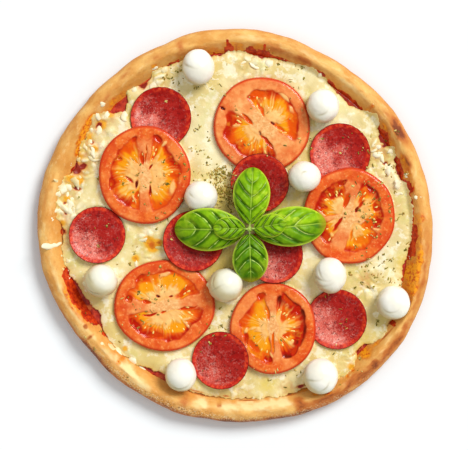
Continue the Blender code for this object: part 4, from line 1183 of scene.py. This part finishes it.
# place and radius in millimetres, the side that is pressed down, how much painted light makes its lower left
# paler
SALAMIS = (
    ((-56.1, 81.6), 23.0, 254, 1.15), ((-104.2, -7.2), 21.4, 50, 0.75), ((79.3, 54.2), 23.0, 278, 1.3),
    ((18.6, 32.6), 22.1, 90, 0.45), ((-31.6, -12.0), 23.0, 245, 0.08), ((29.5, -22.3), 21.7, 270, 0.75),
    ((76.8, -70.8), 22.7, 172, 1.0), ((-10.8, -101.6), 21.7, 110, 0.48),
)

salami_pieces = []
for number, (middle, radius, pressed, pale) in enumerate(SALAMIS, 1):
    *middle, radius = metres((*middle, radius))
    bm = slice_of(SALAMI_FLAT, SALAMI_RINGS, SALAMI_EDGE, SALAMI_THICKNESS, SALAMI_STEPS)
    layers = layers_of(bm, "rind sheen")
    for vertex in bm.verts:
        share = vertex.co.xy.length
        direction = direction_of(vertex.co)
        # Painted light: the lower left, which faces the light, gets a higher value.
        lit = (-vertex.co.x - vertex.co.y) * 0.7 + 0.5 * grain(vertex.co, 2, number)
        keep(vertex, layers, rind=share, sheen=min(1, pale * smooth(-0.4, 0.8, lit)))
        free = (1 - math.cos(direction - math.radians(pressed))) / 2
        ripple = 1 + 0.18 * math.cos(3 * direction + middle[1] * 90)
        vertex.co.z += SALAMI_CURL * free * ripple * (max(0, share - 0.45) / 0.55) ** 2
        if vertex.co.z > SALAMI_THICKNESS * 0.75:
            knobs = abs(grain(vertex.co, 15, number + 0.5)) - 0.25
            vertex.co.z += (0.00018 * grain(vertex.co, 5, number) + 0.00010 * grain(vertex.co, 26, number)
                            - 0.00015 + 0.00045 * knobs * smooth(0.80, 0.92, share))
        vertex.co.xy *= radius * (1 + 0.010 * grain(vertex.co, 9, number))
    bmesh.ops.transform(bm, matrix=seat_of(f"salami_{number}", middle, 0.6 * radius), verts=bm.verts)
    salami_pieces.append(add_piece(bm, f"salami_sliced_{number}", cured_meat, "salami", f"salami_{number}"))

# %% [markdown]
# ## The mozzarella balls
#
# Small mozzarella balls are pinched off by hand from a warm rope of curd, so each has a
# smooth skin and one or two marks: a nipple, a pinch or a fold. They were laid on after
# baking and are still round. Each ball is a fine sphere with its marks pushed in or out.

# %% Mozzarella
BALL_HEIGHT = 0.0220
BALL_FLAT = 0.90              # where the sphere is cut by what it lies on
BALL_LIT_FROM = Vector((0.42, 0.42, 0.80))
FOLD_WIDTH = 8                # marks narrower than this, in degrees, are folds that hold shade

# place and half widths in millimetres, how far up its painted shade reaches, marks: direction, height angle
# and half width in degrees, push outwards in hundredths, stretch, swing from level in degrees
BALLS = (
    ((-27.7, 119.2), (12.2, 13.6), 0.05,
     ((175, 45, 4, -3, 7, 75), (170, 25, 10, -5, 2, 60), (250, 15, 16, -5, 1, 0))),
    ((66.1, 89.9), (12.3, 12.8), 0.20,
     ((300, 20, 14, -4, 1.5, 0), (260, 55, 4, -2.2, 5, 30), (200, 40, 15, -4, 2, 20))),
    ((52.2, 36.8), (12.2, 11.5), 0.05,
     ((100, 72, 3.5, -3.5, 3, 10), (200, 25, 10, -3, 2, 0), (230, 50, 13, -3, 2, 0))),
    ((-25.6, 21.6), (12.5, 12.1), 0.05,
     ((320, 30, 12, -3, 2, 0), (170, 50, 4, -2.5, 4, 60), (210, 30, 14, -4, 2, 30))),
    ((-101.3, -41.8), (12.8, 12.7), 0.75,
     ((188, 12, 8, 10, 1, 0), (235, 32, 5, -8.5, 6, 10), (255, 8, 14, -6, 2, 10), (160, 45, 4, -2.5, 5, 50))),
    ((-7.2, -45.0), (13.0, 12.9), 0.80,
     ((178, 4, 8, 13, 1, 0), (165, 40, 4, -4, 6, 20), (200, 50, 4, -3, 6, 100), (120, 60, 12, -3, 2, 0))),
    ((71.5, -37.6), (12.3, 13.6), 0.25,
     ((190, 35, 4, -5.5, 8, 60), (215, 25, 4, -5, 8, 50), (250, 16, 10, -5, 2, 40), (165, 45, 4, -3, 6, 40))),
    ((119.0, -58.2), (12.8, 12.8), 0.25,
     ((140, 18, 12, -4, 1.5, 0), (240, 50, 4, -3, 6, 20), (190, 40, 14, -4, 2, 10))),
    ((-40.9, -112.5), (11.9, 12.8), 0.30,
     ((262, 34, 5, -7, 8, 6), (250, 10, 14, -6, 2, 0), (40, 22, 10, -4, 2, 0))),
    ((64.5, -113.4), (13.2, 13.5), 0.25,
     ((230, 20, 12, -4, 2, 0), (200, 50, 4, -2.5, 6, 70), (290, 45, 4, -2, 5, 30), (180, 30, 13, -3, 2, 0))),
)

white_curd, shader, place = new_finish(
    "white_curd", Roughness=0.32, Specular_IOR_Level=0.4, Coat_Weight=0.1, Coat_Roughness=0.1)
# Painted shade: the side turned from the light, more of it on some balls, and the narrow folds are painted
# cream to olive grey.
shade = place.painted("low") + 0.25 * (place.clouds(150, 2.0) - 0.5)
curd = place.clouds(60, 2.0).blend(0.35, 0.7, (250, 245, 226), (255, 252, 240)).coats(
    (shade.step(0.10, 0.60) * 0.60, (232, 230, 200)),
    (shade.step(0.50, 1.0) * 0.80, (204, 186, 128)),
    (place.painted("mark") * 0.70, (192, 180, 138)))
feed(shader, Base_Color=curd, Normal=bumps((place.clouds(110, 3.0), 0.25, 0.0014)))

ball_pieces = []
for number, (middle, halves, painted_shade_share, marks) in enumerate(BALLS, 1):
    middle, halves = metres(middle), metres(halves)
    foot = min(vertex.co.z for vertex in nodes[f"mozzarella_{number}"].data.vertices)
    bm = bmesh.new()
    bmesh.ops.create_uvsphere(bm, u_segments=96, v_segments=64, radius=1)
    layers = layers_of(bm, "low mark")
    for vertex in bm.verts:
        facing = vertex.co.copy()
        dimple = 1 + waves(facing + Vector((*middle, 0)) * 100, (0.035, 1.7), (0.010, 4))
        folded = 0
        upward = math.asin(max(-1, min(1, facing.z)))
        for direction, height, half_width, depth, stretch, swing in marks:
            swing = math.radians(swing)
            turn = (direction_of(facing) - math.radians(direction) + math.pi) % math.tau - math.pi
            turn *= math.cos(upward)
            rise = upward - math.radians(height)
            lengthwise = turn * math.cos(swing) + rise * math.sin(swing)
            sideways = rise * math.cos(swing) - turn * math.sin(swing)
            away = math.hypot(lengthwise / stretch, sideways) / math.radians(half_width)
            push = math.exp(-away ** 2)
            dimple += depth / 100 * push
            if depth < 0 and half_width < FOLD_WIDTH:
                folded = max(folded, push)
        keep(vertex, layers, low=smooth(0.50, -0.55, facing.dot(BALL_LIT_FROM) - painted_shade_share), mark=folded)
        point = facing * dimple
        rise = BALL_HEIGHT * (max(point.z, -BALL_FLAT) + BALL_FLAT) / (1 + BALL_FLAT)
        vertex.co = (middle[0] + point.x * halves[0], middle[1] + point.y * halves[1], foot + rise)
    ball_pieces.append(
        add_piece(bm, f"mozzarella_ball_{number}", white_curd, "mozzarella", f"mozzarella_{number}"))

# %% [markdown]
# ## The basil
#
# Basil leaves grow in pairs, each pair across the one below it. A leaf arches away from the
# stem, its edges turn down, and it puffs up between its side veins. Veins are drawn by the
# shader from two numbers that the mesh carries: how far along the leaf a point is, and how
# far across. The same sums raise the surface between them.

# %% Leaf finish
VEIN_SLANT = 1.36             # how far a side vein runs on towards the tip, in vein gaps
VEIN_BEND = 1.35


def leaf_finish(name, veins, fresh, lit, brown):
    """The surface of a leaf: its side veins, its freshness, its half with painted light and its tip."""
    made, shader, place = new_finish(name, Specular_IOR_Level=0.12, Coat_Weight=0.07, Coat_Roughness=0.2)
    along = place.painted("along")
    across = place.painted("across")
    side = abs(across)
    patches = place.clouds(130, 3.0, 0.55)
    run = along * veins - side ** VEIN_BEND * VEIN_SLANT + 0.25 * (patches - 0.5)
    turn = run.math("FRACT", run)
    gap = 1 - abs(turn - 0.5) * 2
    ends = side.step(0.99, 0.80) * along.step(0.88, 0.66)
    vein = abs(turn - 0.07).step(0.055, 0.02) * ends * place.clouds(210, 2.0).step(0.36, 0.52)
    # Painted shade: dark green in the grooves of the side veins.
    groove_shade = gap.step(0.15, 0.02) * ends * (0.2 + 1.2 * place.clouds(160, 2.0))
    midrib = side.step(0.045, 0.015) * along.step(0.99, 0.90)
    base = patches.blend(0.35, 0.68, (56, 104, 0), (84, 138, 0))
    bright = patches.blend(0.35, 0.68, (122, 176, 2), (158, 204, 16))
    # Painted light: one half of the leaf is lighter, as if turned to the sun, and the yellow-green patches
    # gather there.
    paler = (across * (1 if lit > 0 else -1)).step(-0.25, 0.55) * abs(lit)
    # Painted highlight: lighter on the puffs between the veins.
    ridge = gap.step(0.05, 0.60) * (0.3 + place.clouds(90, 2.0))
    green = (fresh + 0.60 * (ridge - 0.45) + 0.5 * paler).blend(0.0, 1.0, base, bright).coats(
        (place.clouds(100, 3.0, 0.6).step(0.50, 0.64) * (0.15 + 0.7 * paler), (190, 222, 50)),
        (groove_shade * 0.70, (38, 82, 0)),
        (vein * 0.85, (208, 232, 118)),
        (side.step(0.12, 0.03) * 0.5, (58, 102, 0)),
        (midrib * 0.75, (172, 208, 66)),
        (side.step(0.84, 1.0) * 0.80, (196, 224, 62)),
        (along.step(0.86, 1.0) * brown, (168, 150, 30)))
    feed(shader, Base_Color=green, Roughness=0.32 + 0.2 * patches,
         Normal=bumps((gap.step(0.0, 0.60) * 0.7 * ends + patches * 0.5, 0.7, 0.0022),
                      (place.clouds(700, 2.0, 0.6), 0.25, 0.0003)))
    return made


print("a side vein runs on by", VEIN_SLANT, "gaps")

# %% [markdown]
# A leaf starts as a flat grid that is finer near its ends. Its width follows a sine, and its
# height adds up the arch, the turned-down edges and the quilting. It gets its thickness last,
# so that both its sides follow the same curves.

# %% Basil leaves
LEAF_THICKNESS = 0.00063
LEAF_STUB = 0.0010            # half its width where it leaves the stem
LEAF_SHAPE = 1.15
LEAF_PUFF = 0.0016
LEAF_RIPPLE = 0.0003
LEAF_ALONG = 84
LEAF_ACROSS = 52

# base, tip and sizes in millimetres (width, arch, dome, twist, quilting), number of side veins,
# how fresh its green is, how much painted light makes its one half paler (below 0: the other), how brown its
# tip is
LEAVES = (
    ((11.1, 1.0, 23.5), (13.6, 43.8, 20.5), (28.0, 5.5, 2.2, 0, 1.6), 4.2, 0.40, -1.1, 0.1),
    ((7.2, -3.4, 22.5), (-45.5, -2.6, 17.5), (32.5, 8.6, 2.2, -2.6, 1.5), 4.4, 0.30, -0.4, 0.2),
    ((10.9, -6.4, 23.5), (12.0, -42.7, 19.2), (27.0, 7.6, 2.2, -2.6, 1.3), 4.0, 0.08, 0.3, 0.8),
    ((14.6, -3.8, 20.5), (68.6, 2.1, 17.5), (30.0, 8.5, 2.4, 0, 1.2), 3.6, 0.25, 1.3, 0.8),
    ((7.7, -2.6, 26.8), (-16.2, -1.6, 32.6), (17.4, 2.2, 1.2, -1.2, 1.0), 4.0, 0.45, 0, 0.1),
    ((14.1, -2.2, 27.0), (38.4, 2.1, 30.8), (18.0, 1.6, 1.2, 0, 1.0), 4.0, 0.45, 0.3, 0.1),
)

leaf_pieces = []
for number, (base, tip, sizes, veins, *looks) in enumerate(LEAVES, 1):
    base, tip = (Vector(metres(end)) for end in (base, tip))
    width, arch, dome, twist, quilt = metres(sizes)
    side = Vector((base.y - tip.y, tip.x - base.x, 0)).normalized()
    bm = bmesh.new()
    bmesh.ops.create_grid(bm, x_segments=LEAF_ALONG, y_segments=LEAF_ACROSS, size=0.5)
    bmesh.ops.recalc_face_normals(bm, faces=bm.faces)
    layers = layers_of(bm, "along across")
    for vertex in bm.verts:
        along = (1 - math.cos(math.pi * (vertex.co.x + 0.5))) / 2
        across = math.sin(math.pi * vertex.co.y)
        keep(vertex, layers, along=along, across=across)
        away = abs(across)
        blade = max(0, math.sin(math.pi * along ** LEAF_SHAPE)) ** 0.5
        half = LEAF_STUB * (1 - along) + (width - LEAF_STUB) / 2 * blade
        puff = LEAF_PUFF * away * (1 - away) * 4
        ripple = LEAF_RIPPLE * away * math.sin(along * 15 + across * 2)
        between = 1 - abs((along * veins - VEIN_SLANT * away ** VEIN_BEND) % 1 - 0.5) * 2
        raised = quilt * (math.sin(math.pi / 2 * min(1, between * 1.6)) - 0.75)
        raised *= smooth(1.0, 0.6, away) * smooth(0.0, 0.12, away) * smooth(0.90, 0.68, along)
        point = base.lerp(tip, along) + side * across * half
        point.z += arch * 4 * along * (1 - along)
        point.z += min(1, half / (width / 2)) * (puff + ripple + raised + twist * across - dome * across ** 2)
        vertex.co = point
    bmesh.ops.solidify(bm, geom=bm.faces[:], thickness=LEAF_THICKNESS)
    bmesh.ops.remove_doubles(bm, verts=bm.verts, dist=TINY)
    finish = leaf_finish(f"basil_green_{number}", veins, *looks)
    leaf_pieces.append(add_piece(bm, f"basil_leaf_blade_{number}", finish, "leaf", f"basil_leaf_{number}"))

# %% [markdown]
# The stem ends in a small knob between the leaves, with a short stalk to each of them. It
# is paler than the leaves, because no sun reached it.

# %% Basil stem
STEM_PLACE = Vector((0.0109, -0.0026, 0))
STEM_TOP = 0.0268
STEM_RADIUS = 0.0013
# half width in stem radii and depth under the top in millimetres
STEM_KNOB = ((0, 0), (0.5, 0.04), (0.96, 0.2), (1.35, 0.8), (1.6, 1.6), (1.6, 3.4), (1.25, 5),
             (1, 6), (0.98, 11), (0.98, 16.4), (0, 16.4))
# for each leaf the height of its stalk at the stem and at the leaf, in millimetres
STALKS = ((25.3, 23.6), (25.0, 22.8), (25.0, 23.8), (24.6, 20.8), (25.8, 26.9), (25.8, 27.1))
STALK_RADII = (0.0008, 0.00055)
STALK_OVERLAP = 0.0012        # how far a stalk runs on under its leaf

bm = spun([(across * STEM_RADIUS, STEM_TOP - depth / 1000) for across, depth in STEM_KNOB], 28)
bmesh.ops.translate(bm, verts=bm.verts, vec=STEM_PLACE)
for (base, *rest), heights in zip(LEAVES, STALKS):
    base = Vector(metres(base)).xy
    near, far = metres(heights)
    start = Vector((*STEM_PLACE.xy, near))
    end = Vector((*base, far)) + (base - STEM_PLACE.xy).normalized().to_3d() * STALK_OVERLAP
    course = end - start
    stalk = bmesh.ops.create_cone(bm, cap_ends=True, segments=12, radius1=STALK_RADII[0],
                                  radius2=STALK_RADII[1], depth=course.length)["verts"]
    bmesh.ops.transform(bm, matrix=standing((start + end) / 2, course.normalized()), verts=stalk)
stem_pale, shader, place = new_finish("stem_pale", Roughness=0.4, Specular_IOR_Level=0.4)
feed(shader, Base_Color=place.clouds(900, 3.0).blend(0.35, 0.7, (142, 176, 52), (196, 216, 112)))
add_piece(bm, "basil_stalk", stem_pale, "stem", "basil_stem")

# %% [markdown]
# ## What lies on top
#
# Dried herbs and half melted shreds of cheese were scattered by hand, so they lie where
# they fell: thick in a few drifts and thin elsewhere. Each one is dropped straight down on
# the finished surface and lies along it.

# %% Dropping things
landing = tree_of([crust, cheese] + tomato_pieces + salami_pieces)
on_toppings = tree_of(tomato_pieces + salami_pieces)
cover = tree_of(ball_pieces + leaf_pieces)


def dropped(x, y, rng, sink):
    """Where a thing that falls at (x, y) lies: a matrix, or nothing if something covers it."""
    start = Vector((x, y, ABOVE))
    spot, normal, face, distance = landing.ray_cast(start, DOWN)
    if spot is None or cover.ray_cast(start, DOWN)[0]:
        return None
    return standing(spot - normal * sink, normal) @ Matrix.Rotation(rng.uniform(0, math.tau), 4, "Z")


print(2 + len(tomato_pieces + salami_pieces), "pieces to land on")

# %% [markdown]
# A flake of dried oregano is a curled scrap of leaf, 1 to 2.5 mm long, olive to brown, with
# a few longer bits of stalk between them. Every flake is a small bent sheet with six sides.

# %% Herb flakes
FLAKE_SIZE = (0.0012, 0.00060, 0.00022)    # half length, half width, half thickness
FLAKE_REST = 1.1              # how high its middle lies, in half thicknesses
CLUMP = 0.0007                # how far apart the flakes of one clump lie

# middle and spread in millimetres, number of clumps
DRIFTS = (
    ((-7, 24), 5.2, 115), ((-10, 37), 5.8, 95), ((-28, 58), 8, 24), ((-34, 108), 11, 24), ((-46, 113), 6, 10),
    ((112, -34), 11, 44), ((98, -46), 8, 16), ((100, 56), 10, 18), ((98, 22), 8.5, 40), ((106, 4), 7, 18),
    ((-72, -62), 9, 26), ((-50, -40), 7, 8), ((-85, -20), 14, 12), ((35, -117), 11, 10), ((46, 110), 12, 12),
    ((-10, -72), 8, 10), ((-62, 30), 14, 20), ((24, 80), 16, 8), ((28, -78), 14, 6), ((-48, 34), 6, 8),
    ((10, 95), 20, 8), ((118, 10), 8, 12), ((80, -98), 12, 8), ((-92, -78), 12, 10), ((-50, 5), 12, 12),
    ((60, 60), 10, 8), ((-20, -90), 16, 6), ((120, 40), 7, 10), ((-106, 30), 14, 6), ((76, -70), 12, 6),
)

rng = random.Random(31)
bm = bmesh.new()
layers = layers_of(bm, "tone")
flakes = 0
spots = []
for middle, spread, count in DRIFTS:
    for clump in range(count):
        x, y = (rng.gauss(side / 1000, spread / 1000) for side in middle)
        spots += [(x + rng.gauss(0, CLUMP), y + rng.gauss(0, CLUMP))
                  for flake in range(rng.choice((1, 1, 1, 2, 4)))]
for x, y in spots:
    rest = dropped(x, y, rng, 0)
    if rest:
        made = bmesh.ops.create_cone(bm, cap_ends=True, segments=6, radius1=1, radius2=0.7, depth=2)["verts"]
        tone = rng.random()
        long = rng.choice((0.3, 0.45, 0.6, 0.8, 1.2, 1.8))
        wide = rng.uniform(0.4, 1.7) / max(1, long)
        bend = rng.uniform(-0.7, 0.8)
        grow = Vector((FLAKE_SIZE[0] * long, FLAKE_SIZE[1] * wide, FLAKE_SIZE[2] * rng.uniform(0.7, 1.3)))
        tilt = Matrix.Rotation(rng.uniform(-0.5, 0.5), 4, "X")
        tilt @= Matrix.Rotation(rng.uniform(-0.25, 0.25), 4, "Y")
        for vertex in made:
            keep(vertex, layers, tone=tone)
            vertex.co.z += bend * vertex.co.x ** 2
            vertex.co.x *= rng.uniform(0.75, 1.1)
            vertex.co.y += 0.3 * bend * vertex.co.x ** 2
            vertex.co *= grow
        lift = Matrix.Translation(UP * FLAKE_SIZE[2] * FLAKE_REST)
        bmesh.ops.transform(bm, matrix=rest @ lift @ tilt, verts=made)
        flakes += 1
print(flakes, "flakes")
dried_herb, shader, place = new_finish("dried_herb", Roughness=0.7, Specular_IOR_Level=0.3)
tone = place.painted("tone")
feed(shader, Base_Color=tone.blend(0.0, 0.35, (116, 102, 28), (160, 146, 46)).coats(
    (tone.step(0.35, 0.55), (186, 142, 60)), (tone.step(0.60, 0.85), (224, 204, 120))))
add_piece(bm, "herb_flakes", dried_herb, "leaf")

# %% [markdown]
# The shreds that landed last kept their shape: they are soft little worms, thinner at
# their ends, half sunk in the sheet. Most lie at the left edge, a few on the rim.

# %% Cheese shreds
# direction, inset, length and half width in millimetres, turn from the rim's own direction
LUMPS = (
    (178, 12, 4, 1.6, 40), (175.7, 15, 10, 1.5, 90), (173.5, 23, 11, 2.8, 5), (171, 26, 9, 2.0, 0),
    (170, 13.5, 7, 1.8, 85), (166.3, 14, 16, 1.5, 88), (164.5, 22, 10, 2.2, 60), (167, 20, 7, 1.8, 80),
    (163, 27, 6, 1.5, 70), (159.5, 16, 4, 1.4, 20), (157, 19, 5, 1.5, 40), (154, 17, 6, 1.6, 80),
    (150, 20, 7, 1.5, 20), (147, 17, 6, 1.5, 30), (145, 22, 7, 1.8, 10), (141, 13.5, 9, 1.9, 70),
    (139, 18, 7, 1.8, 60), (137.5, 11.5, 5, 1.6, 85), (135.5, 15, 3, 1.0, 30), (133.5, 17, 3.5, 1.1, 60),
    (131, 18, 3, 1.0, 20), (135, 24, 4, 1.4, 50), (129, 17, 5, 1.3, 60), (126.5, 19, 5, 1.5, 45),
    (117, 15, 6, 1.8, 60), (114, 18, 7, 2.0, 40), (120, 24, 8, 2.0, 20), (135, 29, 8, 2.0, 40),
    (80.7, 9, 2.5, 1.0, 70), (83, 23, 8, 2.5, 0), (78, 22, 7, 2.2, 10), (60, 15.5, 5, 1.4, 50),
    (41.5, 10, 3, 1.0, 60), (36.5, 12, 5.5, 0.9, 20), (29, 26, 6, 1.6, 80), (25, 17, 7, 1.5, 70),
    (16.3, 14, 4.0, 2.0, 0), (8.7, 8.5, 6, 1.2, 85), (27, 29, 7, 2.0, 30), (20, 27, 8, 2.2, 20),
    (14, 21, 8, 2.0, 10), (-10.5, 17, 4, 1.4, 40), (-84, 18, 2.8, 1.4, 0), (-123, 19, 8, 2.0, 20),
    (-127, 18, 7, 2.0, 8), (-132, 16, 9, 2.2, 8), (-135.5, 15, 8, 2.0, 15), (-138, 12.5, 6, 1.5, 60),
    (-162.5, 16.5, 3, 1.3, 40), (-166, 15, 3.5, 1.3, 60), (-165, 18.5, 3, 1.2, 10),
    (-170.5, 16, 4.5, 1.5, 30), (-173.8, 11, 17, 1.5, 88), (-168, 20, 5, 1.5, 20),
)
LUMP_SINK = 0.0008
LUMP_GROWTH = (1.15, 1.3)     # of the lengths and half widths in the list, which were too small

# middle, spread and mean length in millimetres, number
SHREDS = (
    ((-118, 40), 10, 10, 7), ((-126, 16), 7, 8, 4), ((-104, 74), 9, 9, 4), ((112, 56), 8, 8, 6),
    ((122, 20), 6, 7, 3), ((-114, -66), 8, 8, 4), ((0, 124), 16, 8, 5), ((-88, -100), 12, 8, 4),
    ((50, -122), 14, 8, 5), ((-66, -18), 10, 9, 3), ((108, -44), 10, 7, 4),
)
SHRED_SINK = 0.0004


def shred_into(bm, rest, length, thickness, bend, white):
    """A bent lump of cheese made from a sphere, along its own X axis, moved to where it rests."""
    made = bmesh.ops.create_uvsphere(bm, u_segments=8, v_segments=9, radius=1)["verts"]
    for vertex in made:
        along = vertex.co.z
        around = vertex.co.xy.normalized() if abs(along) < 0.999 else Vector((0, 0))
        full = (1 - min(1, abs(along)) ** 3) ** 0.5 * thickness
        full *= 1 + 0.9 * noise.noise(Vector((along * 1.7, length * 900, around.x * 0.8)))
        wobble = noise.noise(Vector((along * 1.5, length * 700, 4)))
        aside = bend * length * (1 - along ** 2) + 0.14 * length * wobble
        vertex.co = (along * length / 2, aside + around.x * full, around.y * full * 0.5)
        keep(vertex, layers, curd=white)
    bmesh.ops.transform(bm, matrix=rest, verts=made)


rng = random.Random(5)
bm = bmesh.new()
layers = layers_of(bm, "curd")
for turn, inset, length, thickness, swing in LUMPS:
    turn = math.radians(turn)
    start = towards(turn) * (outline(turn) - inset / 1000) + UP * ABOVE
    spot, normal, face, distance = landing.ray_cast(start, DOWN)
    rest = standing(spot - normal * LUMP_SINK, normal)
    rest @= Matrix.Rotation(turn + math.pi / 2 + math.radians(swing), 4, "Z")
    shred_into(bm, rest, LUMP_GROWTH[0] * length / 1000, LUMP_GROWTH[1] * thickness / 1000,
               rng.uniform(-0.12, 0.12), rng.uniform(0.2, 0.8))
for middle, spread, mean_length, count in SHREDS:
    for shred in range(count):
        x, y = (rng.gauss(side / 1000, spread / 1000) for side in middle)
        if math.hypot(x, y) > cheese_edge(direction_of((x, y))) - 0.002:
            continue
        rest = dropped(x, y, rng, SHRED_SINK)
        if rest is None or on_toppings.ray_cast(Vector((x, y, ABOVE)), DOWN)[0]:
            continue
        shred_into(bm, rest, mean_length / 1000 * rng.uniform(0.6, 1.35), rng.uniform(0.0009, 0.0016),
                   rng.uniform(-0.16, 0.16), rng.uniform(0.2, 0.8))
add_piece(bm, "cheese_shreds", melted_cheese, "cheese")
